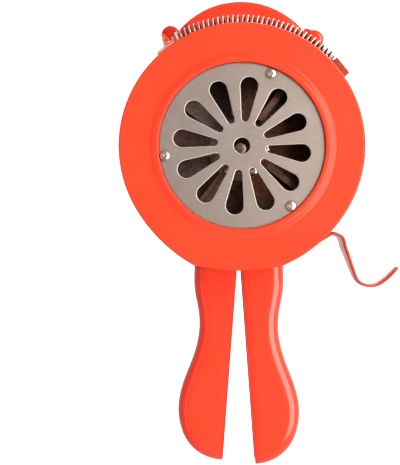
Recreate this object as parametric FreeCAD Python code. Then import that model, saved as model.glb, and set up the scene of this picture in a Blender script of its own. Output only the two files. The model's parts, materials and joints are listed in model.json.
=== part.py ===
import FreeCAD, Part
import math
import os

V = FreeCAD.Vector
BACK = V(0, 1, 0)

# Hand crank siren, in millimetres. +Z is up, the intake faces -Y, and the origin is the middle of the grip.
# Inside this file a place is given as (x, depth, z): x and z from the rotor axis, and depth behind the
# front lip of the housing. Angles are counterclockwise from +X, seen from the front.

# Head
AXIS_HEIGHT = 140.0        # rotor axis above the middle of the grip
GRIP_MIDDLE = 51.0         # depth of the middle of the grip
FLANGE_R = 75.0
FLANGE_FACE = 1.4          # depth of the flat red face
FLANGE_BACK = 6.0
FLANGE_EDGE = 1.2          # rounding of the flange's edge
SKIRT_END = 9.2
MOUTH_R = 50.6
LIP_LAND = 1.2             # flat width on the lip's crest
LIP_ROUND = 0.9
LIP_SLOPE = 4.6            # run of the lip's outer slope
LEDGE_WIDTH = 6.6          # the ledge that carries the grille
SKIRT_WALL = 3.0           # the flange stands this far out round the drum
DRUM_WALL = 4.5
DRUM_END = 36.5
PORTS = 8
PORT_ANGLE = 14.0
PORT_PHASE = 9.5
PORT_FRONT = 12.5
PORT_LENGTH = 20.0
PORT_ROUND = 2.0
CUT_OVER = 1.0             # cutters reach this far past what they cut

# Grille
GRILLE_THICK = 1.0
GRILLE_GAP = 0.2
GRILLE_RECESS = 2.1
SLOTS = 12
SLOT_PHASE = 83.0
SLOT_INNER_AT = 16.9       # from the middle of the grille
SLOT_INNER_R = 2.25
SLOT_OUTER_IN = 14.0       # from the mouth's edge to the middle of a slot's outer round
SLOT_OUTER_R = 5.5
GRILLE_HOLE_R = 5.0
GRILLE_SCREW_IN = 3.4
GRILLE_SCREW_ANGLES = (68.0, 187.6, 309.0)

# Screws
HEAD_R = 3.1
HEAD_HEIGHT = 1.9
SCREW_R = 1.45
SCREW_GAP = 0.05
HEAD_DOME = ((0.55, 0.88), (0.9, 0.5))     # points on a head's side: shares of its radius and height
CROSS_LENGTH = 2.8
CROSS_WIDTH = 0.6
CROSS_DEPTH = 0.9
SCREW_BITE = 6.0           # length of a screw in the piece that it threads into
SCREW_TIP_GAP = 0.5        # room between a screw's tip and the end of its blind hole

# Shutter ring, trigger and return spring
RING_GAP = 0.4
RING_WALL = 1.6
RING_END_GAP = 0.4
LUG_FROM = 34.5
LUG_TO = 43.2
LUG_RISE = 6.6             # the lug stands this far above the ring
LUG_WIDTH = 8.0
SPRING_DEPTH = 15.0
SPRING_R = 4.0
SPRING_WIRE_R = 0.55
SPRING_PITCH = 3.0
SPRING_SEAT_GAP = 0.3
SPRING_FROM = 44.6
SPRING_TO = 122.2
SPRING_STEPS = 6           # straight pieces in one turn of wire
SPRING_SIDES = 5
SPRING_LEAD = 0.7          # angle between the last coil and the start of its straight lead
ANCHOR_FROM = 123.2
ANCHOR_TO = 127.6
ANCHOR_THICK = 1.2
ANCHOR_WALL = 1.5
ANCHOR_TOP_RISE = 10.1     # the top of the anchor's wall stands this far above the flange's edge
ANCHOR_TOP_AT = 124.8
ANCHOR_FRONT = 10.5
ANCHOR_BACK = 19.0
STRAP_TO = 132.2
STRAP_THICK = 1.0
STRAP_END_THICK = 2.0
STRAP_GAP = 0.3            # angle between the anchor's foot and the strap's raised end
STRAP_FRONT = 3.6
STRAP_BACK = 9.0
ANCHOR_SCREW_AT = 126.0
HOOK_THICK = 1.6
HOOK_WIDTH = 24.0
HOOK_TIP_WIDTH = 9.0
HOOK_FOOT_FROM = -73.0
HOOK_FOOT_TO = -58.0
HOOK_RIVET_ANGLES = (-69.5, -62.0)
HOOK_LEAVE = 20.3          # straight run from the ring to the first bend
HOOK_BENDS = ((6.9, -1.5), (14.5, -27.1), (25.7, -37.9), (42.3, -22.3))   # from the first bend, in x and z
HOOK_BEND_RADII = (3.0, 3.5, 11.0, 8.0)
HOOK_NARROW = (1.2, 27.2, 39.2, 43.7)   # where the strip narrows to its tip, in x from the first bend
HOOK_TAPER_OVER = 0.8      # the strip is this much wider to each side at the end of its taper
RIVET_R = 1.5
RIVET_HEAD_R = 2.9
RIVET_TOP_R = 1.7
RIVET_HEAD_HEIGHT = 1.1

# Back plate and neck
PLATE_THICK = 3.5
NECK_HALF = 28.6
NECK_SHIFT = -0.1          # the neck and both grips sit this far beside the rotor axis
NECK_SHORT = 1.0           # the neck ends this far above the level of the flange's lowest point
FACE_NECK_HALF = 28.0
FACE_NECK_SHIFT = -1.95
FACE_NECK_SHORT = 2.6
FACE_NECK_SAG = 3.5        # the neck's lower edge is bowed by this much
NECK_CORNER = 2.0
NECK_TOUCH = 60.0          # the neck's sides leave the circle at this angle from straight down
PLATE_SCREW_ANGLES = (32.0, 167.0, 212.0, 302.0, 347.0)
CASE_MOUNT_ANGLES = (77.0, 122.0)

# Grips
GRIP_DEPTH = 22.0
GRIP_WALL = 2.2
GRIP_ROUND = 7.5
GRIP_OVERLAP = 14.0        # length of the grip behind the neck
GRIP_LENGTH = 141.3        # from its top behind the neck to its tip
GRIP_WIDTH = 39.6          # widest reach to the side
GRIP_INNER_TOP = 0.2
GRIP_INNER_TIP = 10.8
RIGHT_TIP_DROP = 2.7
# Outer side of a grip: shares of its length from the top, and of its width
GRIP_SIDE = ((0.12, 0.737), (0.21, 0.732), (0.305, 0.671), (0.37, 0.652), (0.44, 0.676), (0.535, 0.772),
             (0.64, 0.917), (0.75, 1.0), (0.833, 0.972), (0.903, 0.875), (0.958, 0.70), (0.988, 0.50))
TANG_LENGTH = 12.0
TANG_OUTER = 24.0
GRIP_SCREW_UPPER = (9.5, 5.0)      # beside the neck's middle, and above the grip's top
GRIP_SCREW_LOWER = (18.5, -7.0)

# Gear case
CASE_LEAN = 1.6            # the case leans this far clockwise about the rotor axis
CASE_UP_SHARE = 0.591      # shares of the flange's radius: the case covers most of the plate behind it
CASE_R_SHARE = 0.707
CASE_LOW_SHARE = 0.36
LOW_EAR_SHARE = 0.40
CASE_WALL = 2.5
CASE_DEPTH = 24.0
CASE_ROUND = 3.0
COVER_THICK = 2.5
COVER_ROUND = 1.2
EAR_R = 6.2
EAR_OUT = 2.3              # the upper ears' middles stand this far outside the case
EAR_SPREAD = 57.3
EAR_WEB = ((4.0, 4.2), (-1.5, 9.3), (-9.0, 4.0), (-5.0, -2.0))   # square corner above the right upper ear
LOW_EAR_SPREAD = 128.0

# Gears: two equal steps between the crank and the rotor
MODULE = 0.7
WHEEL_TEETH = 60
PINION_TEETH = 12
PRESSURE = math.radians(20.0)
FLANK_GAP = 0.09
ADDENDUM = 0.9
DEDENDUM = 1.25
GEAR_WIDTH = 5.0
LOW_GEAR_AT = 44.0
HIGH_GEAR_AT = 51.0
PINION_OVERHANG = 1.0

# Rotor
ROTOR_GAP = 0.6
ROTOR_WALL = 2.2
ROTOR_FRONT = 9.0
ROTOR_BACK = 33.5
ROTOR_DISC = 2.0
VANE_THICK = 1.3
VANE_LIP = 4.0
VANE_FRONT = 13.0
VANE_INNER = 14.0
VANE_PHASE = 52.0
ROTOR_PORT_ANGLE = 17.0
ROTOR_PORT_SHORT = 2.0     # the rotor's ports are this much shorter than the drum's
HUB_R = 20.0
HUB_ROOM = 0.2             # the vanes end this far outside the hub's flange
HUB_THICK = 3.0
HUB_BOSS_R = 7.0
HUB_SCREWS = 6
HUB_SCREW_IN = 4.0         # from the hub's edge
SHAFT_R = 2.5
SHAFT_FRONT = 25.0
CAP_FRONT = 22.6           # round cap nut on the front end of the shaft
CAP_R = 3.5
CAP_DOME = 0.8
CAP_TOP_R = 2.1
CAP_TOP_DROP = 0.27
HUB_SCREW_PHASE = 62.0
HUB_BOSS_REACH = 1.5       # the hub's boss comes this far out of the rotor's back disc
BEARING_R = 8.0
BEARING_WIDTH = 5.6
BEARING_GAP = 0.03
BEARING_COVER = 1.0        # metal left in the cover behind the rear bearing
SHAFT_END_GAP = 0.2
RUN_GAP = 0.04

# Crank
CRANK_R = 4.0
CRANK_PIVOT_R = 3.0
CRANK_PIVOT_DEEP = 2.0
BUSH_R = 6.0
BUSH_FLANGE_R = 8.5
BUSH_FLANGE = 1.5
BUSH_INNER_END = 61.0
ARM_LENGTH = 85.0
ARM_THICK = 5.0
ARM_HUB_R = 10.0
ARM_END_R = 8.0
ARM_GAP = 0.5
ARM_ROUND = 1.2
CRANK_NUT_FLATS = 11.0
CRANK_NUT_HEIGHT = 5.0
IDLER_AXLE_R = 2.0
AXLE_END_GAP = 0.5
PIVOT_END_GAP = 0.3
CRANK_THREAD_OVER = 1.5    # the crank shaft's end stands this far out of its nut
SPINDLE_R = 3.0
SPINDLE_HEAD_R = 5.0
SPINDLE_HEAD = 2.0
KNOB_LENGTH = 58.0
KNOB_R = 12.0
KNOB_SIDE = ((0.86, 0.14), (1.0, 0.5), (0.95, 0.82))     # shares of its radius and of its length
KNOB_NECK_R = 8.5
KNOB_GAP = 0.5

# Worked out from the sizes above
LEDGE_R = MOUTH_R - LEDGE_WIDTH
SLOT_OUTER_AT = MOUTH_R - SLOT_OUTER_IN
GRILLE_SCREW_AT = MOUTH_R - GRILLE_SCREW_IN
HUB_SCREW_AT = HUB_R - HUB_SCREW_IN
DRUM_R = FLANGE_R - SKIRT_WALL
GRILLE_BACK = GRILLE_RECESS + GRILLE_THICK
RING_IN_R = DRUM_R + RING_GAP
RING_R = RING_IN_R + RING_WALL
RING_FRONT = SKIRT_END + RING_END_GAP
RING_BACK = DRUM_END - RING_END_GAP
PLATE_BACK = DRUM_END + PLATE_THICK
DRUM_SCREW_AT = DRUM_R - DRUM_WALL / 2
SPRING_LINE_R = RING_R + SPRING_SEAT_GAP + SPRING_R
LUG_R = RING_R + LUG_RISE
GEAR_STEP = MODULE * (WHEEL_TEETH + PINION_TEETH) / 2
CASE_UP = FLANGE_R * CASE_UP_SHARE
CASE_R = FLANGE_R * CASE_R_SHARE
CASE_LOW_R = FLANGE_R * CASE_LOW_SHARE
LOW_EAR_AT = FLANGE_R * LOW_EAR_SHARE
CASE_DIRECTION = 90.0 - CASE_LEAN
CASE_BACK = PLATE_BACK + CASE_DEPTH
COVER_BACK = CASE_BACK + COVER_THICK
NECK_BOTTOM = NECK_SHORT - FLANGE_R
GRIP_FRONT = PLATE_BACK
GRIP_TOP = NECK_BOTTOM + GRIP_OVERLAP
GRIP_TIP = GRIP_TOP - GRIP_LENGTH
ROTOR_R = DRUM_R - DRUM_WALL - ROTOR_GAP
BUSH_BACK = COVER_BACK + BUSH_FLANGE
ARM_FRONT = BUSH_BACK + ARM_GAP
ARM_BACK = ARM_FRONT + ARM_THICK
KNOB_FRONT = ARM_BACK + KNOB_GAP
KNOB_BACK = KNOB_FRONT + KNOB_LENGTH


def at(x, depth, z):
    """The point of the part frame for a place given from the rotor axis and the front lip."""
    return V(x, depth - GRIP_MIDDLE, AXIS_HEIGHT + z)


def polar(radius, degrees):
    """x and z of a point at this radius and angle round the rotor axis."""
    angle = math.radians(degrees)
    return radius * math.cos(angle), radius * math.sin(angle)


CASE_X, CASE_Z = polar(CASE_UP, CASE_DIRECTION)
IDLER_X, IDLER_Z = polar(GEAR_STEP, CASE_DIRECTION)
CRANK_X, CRANK_Z = polar(2 * GEAR_STEP, CASE_DIRECTION)
KNOB_X = CRANK_X
KNOB_Z = CRANK_Z - ARM_LENGTH


def rod(radius, front, back, x=0.0, z=0.0):
    """A round bar along the depth."""
    return Part.makeCylinder(radius, back - front, at(x, front, z), BACK)


def ring(outer, inner, front, back, x=0.0, z=0.0):
    """A round bar with a bore."""
    return rod(outer, front, back, x, z).cut(rod(inner, front, back, x, z))


def spin(shape, degrees, x=0.0, z=0.0):
    """A copy turned counterclockwise, seen from the front, about an axis along the depth."""
    copy = shape.copy()
    copy.rotate(at(x, 0, z), BACK, -degrees)
    return copy


def turned(points, x=0.0, z=0.0):
    """Turn a closed outline of (radius, depth) points about an axis along the depth."""
    corners = [V(radius, depth, 0) for radius, depth in points]
    solid = Part.Face(Part.makePolygon(corners + corners[:1])).revolve(V(0, 0, 0), BACK, 360)
    solid.translate(at(x, 0, z))
    return solid


def plate(wire, front, back):
    """A plate from a wire drawn in x and z."""
    solid = Part.Face(wire).extrude(BACK * (back - front))
    solid.translate(at(0, front, 0))
    return solid


def flat(points):
    """Points of a front view, as vectors."""
    return [V(x, 0, z) for x, z in points]


def polygon(points):
    """A closed wire with straight sides in the front view."""
    corners = flat(points)
    return Part.makePolygon(corners + corners[:1])


def pear(radius, far_radius, distance, degrees=0.0, x=0.0, z=0.0):
    """A closed wire round two circles, the second one at this distance and angle from the first."""
    lean = math.asin((far_radius - radius) / distance)
    side = V(-math.sin(lean), 0, math.cos(lean))
    mirrored = V(side.x, 0, -side.z)
    far = V(distance, 0, 0)
    near_arc = Part.Arc(mirrored * radius, V(-radius, 0, 0), side * radius)
    far_arc = Part.Arc(far + side * far_radius, far + V(far_radius, 0, 0), far + mirrored * far_radius)
    upper = Part.LineSegment(side * radius, far + side * far_radius)
    lower = Part.LineSegment(far + mirrored * far_radius, mirrored * radius)
    wire = Part.Wire([near_arc.toShape(), upper.toShape(), far_arc.toShape(), lower.toShape()])
    wire.rotate(V(0, 0, 0), BACK, -degrees)
    wire.translate(V(x, 0, z))
    return wire


def hexagon(flats, x, z):
    """A closed hexagon wire by its width across the flats."""
    corner = flats / math.sqrt(3)
    return polygon([(x + corner * math.cos(math.radians(60 * i)), z + corner * math.sin(math.radians(60 * i)))
                    for i in range(6)])


def pan_screw(x, z, seat, length, backward=True):
    """A pan head screw with a cross recess. Its head stands in front of the seat, or behind it."""
    dome = [(HEAD_R * out, seat - HEAD_HEIGHT * up) for out, up in HEAD_DOME]
    screw = turned([(0, seat - HEAD_HEIGHT)] + dome + [(HEAD_R, seat), (SCREW_R, seat),
                                                       (SCREW_R, seat + length), (0, seat + length)], x, z)
    for width, height in ((CROSS_LENGTH, CROSS_WIDTH), (CROSS_WIDTH, CROSS_LENGTH)):
        corner = at(x - width / 2, seat - HEAD_HEIGHT - CROSS_DEPTH, z - height / 2)
        screw = screw.cut(Part.makeBox(width, 2 * CROSS_DEPTH, height, corner))
    if not backward:
        screw.rotate(at(x, seat, z), V(0, 0, 1), 180)
    return screw


def screw_hole(x, z, front, back):
    """The hole that a screw stands in."""
    return rod(SCREW_R + SCREW_GAP, front, back, x, z)


def window(inner, outer, degrees, width_angle, front, length):
    """A cutter for one port: a rounded window through a round wall, centred on this angle."""
    middle = (inner + outer) / 2
    half = middle * math.sin(math.radians(width_angle / 2))
    block = Part.makeBox(outer - inner, length, 2 * half, at(inner, front, -half))
    edges = [edge for edge in block.Edges
             if abs(edge.Vertexes[0].X - edge.Vertexes[-1].X) > (outer - inner) / 2]
    return spin(block.makeFillet(PORT_ROUND, edges), degrees)


def port_angles():
    """Angles of the ports at rest, when the ring leaves them open."""
    return [PORT_PHASE + i * 360.0 / PORTS for i in range(PORTS)]


def lip_profile():
    """Half section of the front housing, from the mouth over the lip to the drum wall."""
    land_in = MOUTH_R + LIP_ROUND
    land_out = land_in + LIP_LAND
    foot = land_out + LIP_SLOPE
    half_run = LIP_SLOPE / 2
    half_drop = FLANGE_FACE / 2
    bend = math.atan2(half_drop, half_run)
    bend_r = half_run / math.sin(2 * bend)
    swell = V(bend_r * math.sin(bend), bend_r * (1 - math.cos(bend)), 0)
    corner = LIP_ROUND * (1 - math.sqrt(0.5))
    drum_in = DRUM_R - DRUM_WALL

    def arc(start, through, end):
        return Part.Arc(start, through, end).toShape()

    def line(start, end):
        return Part.LineSegment(start, end).toShape()

    crest_in = V(MOUTH_R, LIP_ROUND, 0)
    crest = V(land_in, 0, 0)
    slope_top = V(land_out, 0, 0)
    slope_middle = V(land_out + half_run, half_drop, 0)
    slope_foot = V(foot, FLANGE_FACE, 0)
    rest = [slope_foot, V(DRUM_R, FLANGE_FACE, 0), V(DRUM_R, DRUM_END, 0), V(drum_in, DRUM_END, 0),
            V(drum_in, FLANGE_BACK, 0), V(LEDGE_R, FLANGE_BACK, 0),
            V(LEDGE_R, GRILLE_BACK, 0), V(MOUTH_R, GRILLE_BACK, 0), crest_in]
    edges = [arc(crest_in, V(MOUTH_R + corner, corner, 0), crest),
             line(crest, slope_top),
             arc(slope_top, slope_top + swell, slope_middle),
             arc(slope_middle, slope_foot - swell, slope_foot)]
    edges += [line(start, end) for start, end in zip(rest, rest[1:])]
    return Part.Face(Part.Wire(edges))


def bowed_side(side, corner):
    """Arc that leaves the flange's circle without a kink and ends in a corner of the neck."""
    touch, end = flat([polar(FLANGE_R, 270 + side * NECK_TOUCH), corner])
    outward = touch / FLANGE_R
    step = end - touch
    radius = -step.Length ** 2 / (2 * step.dot(outward))
    centre = touch - outward * radius
    middle = (touch + end) / 2 - centre
    return Part.Arc(touch, centre + middle * (radius / middle.Length), end)


def necked_outline(half, shift, bottom, sag):
    """Outline of a round plate with a neck whose bowed sides end in two rounded corners."""
    left = bowed_side(-1, (shift - half, bottom))
    right = bowed_side(1, (shift + half, bottom))
    top, lowest = flat([(0, FLANGE_R), (shift, bottom - sag)])
    round_part = Part.Arc(right.StartPoint, top, left.StartPoint)
    if sag > 0:
        base = Part.Arc(left.EndPoint, lowest, right.EndPoint)
    else:
        base = Part.LineSegment(left.EndPoint, right.EndPoint)
    sharp = Part.Wire([curve.toShape() for curve in (round_part, left, base, right)])
    inner = sharp.makeOffset2D(-NECK_CORNER, 0, False, False, False)
    return inner.makeOffset2D(NECK_CORNER, 0, False, False, False)


def front_housing():
    """Flange with the raised lip, the ledge for the grille, and the drum wall with its ports."""
    outline = necked_outline(FACE_NECK_HALF, FACE_NECK_SHIFT, FACE_NECK_SHORT - FLANGE_R, FACE_NECK_SAG)
    flange = rounded_end(plate(outline, FLANGE_FACE, SKIRT_END), FLANGE_FACE, FLANGE_EDGE)
    body = lip_profile().revolve(V(0, 0, 0), BACK, 360)
    body.translate(at(0, 0, 0))
    body = body.fuse(flange.cut(rod(DRUM_R - DRUM_WALL / 2, FLANGE_FACE, SKIRT_END))).removeSplitter()
    for degrees in port_angles():
        body = body.cut(window(DRUM_R - 2 * DRUM_WALL, DRUM_R + CUT_OVER, degrees, PORT_ANGLE, PORT_FRONT,
                               PORT_LENGTH))
    for degrees in GRILLE_SCREW_ANGLES:
        x, z = polar(GRILLE_SCREW_AT, degrees)
        body = body.cut(screw_hole(x, z, GRILLE_BACK, FLANGE_BACK))
    for degrees in PLATE_SCREW_ANGLES + CASE_MOUNT_ANGLES:
        x, z = polar(DRUM_SCREW_AT, degrees)
        body = body.cut(screw_hole(x, z, DRUM_END - SCREW_BITE, DRUM_END))
    return body.cut(anchor_screw_hole())


def intake_grille():
    """Flat disc with twelve teardrop slots and a hole in the middle."""
    disc = rod(MOUTH_R - GRILLE_GAP, GRILLE_RECESS, GRILLE_BACK)
    slot = plate(pear(SLOT_INNER_R, SLOT_OUTER_R, SLOT_OUTER_AT - SLOT_INNER_AT, 0, SLOT_INNER_AT),
                 GRILLE_RECESS, GRILLE_BACK)
    for i in range(SLOTS):
        disc = disc.cut(spin(slot, SLOT_PHASE + i * 360.0 / SLOTS))
    for degrees in GRILLE_SCREW_ANGLES:
        x, z = polar(GRILLE_SCREW_AT, degrees)
        disc = disc.cut(screw_hole(x, z, GRILLE_RECESS, GRILLE_BACK))
    return disc.cut(rod(GRILLE_HOLE_R, GRILLE_RECESS, GRILLE_BACK))


def grille_screws():
    """Three screws in the rim of the grille."""
    length = FLANGE_BACK - GRILLE_RECESS
    screws = []
    for i, degrees in enumerate(GRILLE_SCREW_ANGLES):
        x, z = polar(GRILLE_SCREW_AT, degrees)
        screws.append(spin(pan_screw(x, z, GRILLE_RECESS, length), 25.0 + 30.0 * i, x, z))
    return Part.makeCompound(screws)


def anchor_screw_depth():
    """Depth of the anchor's screw: the middle of the strap."""
    return (STRAP_FRONT + STRAP_BACK) / 2


def radial_rod(radius, inner, outer, degrees, depth):
    """A round bar that points away from the rotor axis."""
    x, z = polar(inner, degrees)
    far_x, far_z = polar(outer, degrees)
    start = at(x, depth, z)
    return Part.makeCylinder(radius, outer - inner, start, at(far_x, depth, far_z) - start)


def anchor_screw_hole():
    """Blind hole in the skirt for the anchor's screw."""
    return radial_rod(SCREW_R + SCREW_GAP, FLANGE_R - SCREW_BITE / 2, FLANGE_R + SCREW_BITE, ANCHOR_SCREW_AT,
                      anchor_screw_depth())


def arc_band(inner, outer, start, end, front, back):
    """A piece of a round wall between two angles."""
    reach = outer * 2
    wedge = [(0, 0), polar(reach, start), polar(reach, (start + end) / 2), polar(reach, end)]
    return ring(outer, inner, front, back).common(plate(polygon(wedge), front, back))


def anchor_strap():
    """Bare steel strap on the skirt: thin under the anchor's foot, and thicker at its free end."""
    thin = arc_band(FLANGE_R, FLANGE_R + STRAP_THICK, ANCHOR_FROM, STRAP_TO, STRAP_FRONT, STRAP_BACK)
    end = arc_band(FLANGE_R, FLANGE_R + STRAP_END_THICK, ANCHOR_TO + STRAP_GAP, STRAP_TO, STRAP_FRONT,
                   STRAP_BACK)
    return thin.fuse(end).removeSplitter().cut(anchor_screw_hole())


def spring_anchor():
    """Painted bracket: a foot on the strap, a wall for the spring's end and a corner web behind it."""
    foot_r = FLANGE_R + STRAP_THICK
    foot = arc_band(foot_r, foot_r + ANCHOR_THICK, ANCHOR_FROM, ANCHOR_TO, STRAP_FRONT, ANCHOR_BACK)
    low = V(*swing(ANCHOR_FROM)) * (foot_r + ANCHOR_THICK / 2)
    top = V(*swing(ANCHOR_TOP_AT)) * (FLANGE_R + ANCHOR_TOP_RISE)
    heel = V(*swing(ANCHOR_TO)) * (foot_r + ANCHOR_THICK / 2)
    thick = (top - low).cross(BACK).normalize() * ANCHOR_WALL
    if thick.dot(heel - low) < 0:
        thick = thick * -1
    wall = plate(Part.makePolygon([low, top, top + thick, low + thick, low]), ANCHOR_FRONT, ANCHOR_BACK)
    web = plate(Part.makePolygon([low, top, heel, low]), ANCHOR_FRONT, ANCHOR_FRONT + ANCHOR_THICK)
    x, z = polar(SPRING_LINE_R, ANCHOR_FROM)
    eye = Part.makeCylinder(2 * SPRING_WIRE_R, 4 * ANCHOR_WALL,
                            at(x, SPRING_DEPTH, z) - V(*along(ANCHOR_FROM)) * (2 * ANCHOR_WALL),
                            V(*along(ANCHOR_FROM)))
    return foot.fuse([wall, web]).removeSplitter().cut(eye).cut(anchor_screw_hole())


def swing(degrees):
    """Direction away from the rotor axis at this angle."""
    x, z = polar(1.0, degrees)
    return x, 0.0, z


def along(degrees):
    """Direction round the rotor axis at this angle, counterclockwise from the front."""
    x, z = polar(1.0, degrees + 90)
    return x, 0.0, z


def anchor_screw():
    """The screw through the anchor's foot, pointing at the rotor axis."""
    stack = STRAP_THICK + ANCHOR_THICK
    screw = pan_screw(0, 0, 0, SCREW_BITE / 2 + stack - SCREW_TIP_GAP)
    screw.rotate(at(0, 0, 0), V(1, 0, 0), -90)
    screw.translate(V(0, anchor_screw_depth(), FLANGE_R + stack))
    return spin(screw, ANCHOR_SCREW_AT - 90)


def shutter_ring():
    """The turning ring outside the drum, with its ports and the lug that the spring pulls."""
    band = ring(RING_R, RING_IN_R, RING_FRONT, RING_BACK)
    for degrees in port_angles():
        band = band.cut(window(DRUM_R - DRUM_WALL, RING_R + CUT_OVER, degrees, PORT_ANGLE, PORT_FRONT,
                               PORT_LENGTH))
    middle = (LUG_FROM + LUG_TO) / 2
    half = LUG_R * math.sin(math.radians((LUG_TO - LUG_FROM) / 2))
    lug = Part.makeBox(LUG_R - RING_IN_R, LUG_WIDTH, 2 * half,
                       at(RING_IN_R, SPRING_DEPTH - LUG_WIDTH / 2, -half))
    band = band.fuse(spin(lug, middle).cut(rod(RING_IN_R, RING_FRONT, RING_BACK)))
    for degrees in HOOK_RIVET_ANGLES:
        band = band.cut(radial_rod(RIVET_R, RING_IN_R - CUT_OVER, RING_R + CUT_OVER, degrees, hook_middle()))
    x, z = polar(SPRING_LINE_R, LUG_TO)
    start = at(x, SPRING_DEPTH, z) + V(*along(LUG_TO)) * SPRING_R
    hole = Part.makeCylinder(2 * SPRING_WIRE_R, 2 * SPRING_R, start, V(*along(LUG_TO)) * -1)
    return band.cut(hole).removeSplitter()


def mitred_bar(points, radius, sides):
    """A bar with flat sides along straight runs, each joint cut on the plane that halves the turn."""
    directions = [(b - a).normalize() for a, b in zip(points, points[1:])]
    across = directions[0].cross(BACK).normalize()
    other = directions[0].cross(across)
    section = []
    for i in range(sides):
        angle = 2 * math.pi * i / sides
        section.append(points[0] + across * (radius * math.cos(angle)) + other * (radius * math.sin(angle)))
    faces = [Part.Face(Part.makePolygon(section + section[:1]))]
    for i, direction in enumerate(directions):
        joint = points[i + 1]
        if i + 1 < len(directions):
            normal = direction + directions[i + 1]
        else:
            normal = direction
        ahead = []
        for corner in section:
            run = (joint - corner).dot(normal) / direction.dot(normal)
            ahead.append(corner + direction * run)
        for k in range(sides):
            n = (k + 1) % sides
            faces.append(Part.Face(Part.makePolygon([section[k], section[n], ahead[n], ahead[k], section[k]])))
        section = ahead
    faces.append(Part.Face(Part.makePolygon(section + section[:1])))
    shell = Part.makeShell(faces)
    shell.sewShape()
    solid = Part.makeSolid(shell)
    if solid.Volume < 0:
        solid.reverse()
    return solid


def return_spring():
    """The long tension spring over the top of the ring, from the lug to the anchor."""
    coil_r = SPRING_R - SPRING_WIRE_R
    span = math.radians(SPRING_TO - SPRING_FROM) * SPRING_LINE_R
    turns = round(span / SPRING_PITCH)
    count = turns * SPRING_STEPS
    points = []
    for i in range(count + 1):
        degrees = SPRING_FROM + (SPRING_TO - SPRING_FROM) * i / count
        phase = 2 * math.pi * i / SPRING_STEPS
        radius = SPRING_LINE_R + coil_r * math.cos(phase)
        x, z = polar(radius, degrees)
        points.append(at(x, SPRING_DEPTH + coil_r * math.sin(phase), z))
    reach = math.degrees(SPRING_R / 2 / SPRING_LINE_R)
    lead_in = [on_spring_line(LUG_TO - reach), on_spring_line(SPRING_FROM - SPRING_LEAD)]
    lead_out = [on_spring_line(SPRING_TO + SPRING_LEAD), on_spring_line(ANCHOR_FROM + reach)]
    return mitred_bar(lead_in + points + lead_out, SPRING_WIRE_R, SPRING_SIDES)


def on_spring_line(degrees):
    """A point on the middle line of the spring."""
    x, z = polar(SPRING_LINE_R, degrees)
    return at(x, SPRING_DEPTH, z)


def hook_middle():
    """Depth of the middle of the trigger hook."""
    return (RING_FRONT + RING_BACK) / 2


def rounded_path(points, radii):
    """Straight runs through points of the front view, with an arc of the given radius at each corner."""
    corners = flat(points)
    edges = []
    start = corners[0]
    for corner, after, radius in zip(corners[1:], corners[2:], radii):
        before = (start - corner).normalize()
        ahead = (after - corner).normalize()
        half = before.getAngle(ahead) / 2
        cut = radius / math.tan(half)
        middle = corner + (before + ahead).normalize() * (radius / math.sin(half) - radius)
        edges.append(Part.LineSegment(start, corner + before * cut).toShape())
        edges.append(Part.Arc(corner + before * cut, middle, corner + ahead * cut).toShape())
        start = corner + ahead * cut
    edges.append(Part.LineSegment(start, corners[-1]).toShape())
    return edges


def hook_path():
    """Middle line of the trigger strip, from its foot round the ring to the turned-up tip."""
    foot_r = RING_R + HOOK_THICK / 2
    arc = Part.Arc(*flat([polar(foot_r, HOOK_FOOT_FROM),
                          polar(foot_r, (HOOK_FOOT_FROM + HOOK_FOOT_TO) / 2),
                          polar(foot_r, HOOK_FOOT_TO)]))
    x, z = polar(foot_r, HOOK_FOOT_TO)
    first = first_bend()
    bends = [(x, z), first] + [(first[0] + right, first[1] + up) for right, up in HOOK_BENDS]
    return [arc.toShape()] + rounded_path(bends, HOOK_BEND_RADII)


def first_bend():
    """The trigger strip's first bend, on the line that leaves the ring as a tangent."""
    x, z = polar(RING_R + HOOK_THICK / 2, HOOK_FOOT_TO)
    step_x, step_z = polar(HOOK_LEAVE, HOOK_FOOT_TO + 90)
    return x + step_x, z + step_z


def trigger_hook():
    """Bent strip: a wide foot riveted to the ring and a finger hook that narrows to its tip."""
    centre = Part.Wire(hook_path())
    outline = centre.makeOffset2D(HOOK_THICK / 2, 0, False, False, False)
    half = HOOK_WIDTH / 2
    tip = HOOK_TIP_WIDTH / 2
    strip = plate(outline, hook_middle() - half, hook_middle() + half)
    bend_x, bend_z = first_bend()
    wide_to, taper_to, nose_from, nose_to = [bend_x + step for step in HOOK_NARROW]
    taper = tip + HOOK_TAPER_OVER
    side = [(0, half), (wide_to, half), (taper_to, taper), (nose_from, tip), (nose_to, tip / 2)]
    side += [(x, -across) for x, across in reversed(side)]
    below = bend_z + 2 * HOOK_BENDS[2][1]
    corners = [at(x, hook_middle() + across, below) for x, across in side]
    trim = Part.Face(Part.makePolygon(corners + corners[:1])).extrude(V(0, 0, -below))
    strip = strip.common(trim)
    for degrees in HOOK_RIVET_ANGLES:
        strip = strip.cut(radial_rod(RIVET_R, RING_IN_R, RING_R + 2 * HOOK_THICK, degrees, hook_middle()))
    return strip


def trigger_rivets():
    """Two domed rivets through the hook's foot and the ring."""
    rivets = []
    for degrees in HOOK_RIVET_ANGLES:
        top = RING_R + HOOK_THICK
        shank = radial_rod(RIVET_R, RING_IN_R, top, degrees, hook_middle())
        head = Part.makeCone(RIVET_HEAD_R, RIVET_TOP_R, RIVET_HEAD_HEIGHT, V(0, 0, 0), V(0, 0, 1))
        head.rotate(V(0, 0, 0), BACK, 90 - degrees)
        x, z = polar(top, degrees)
        head.translate(at(x, hook_middle(), z))
        rivets.append(shank.fuse(head))
    return Part.makeCompound(rivets)


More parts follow.
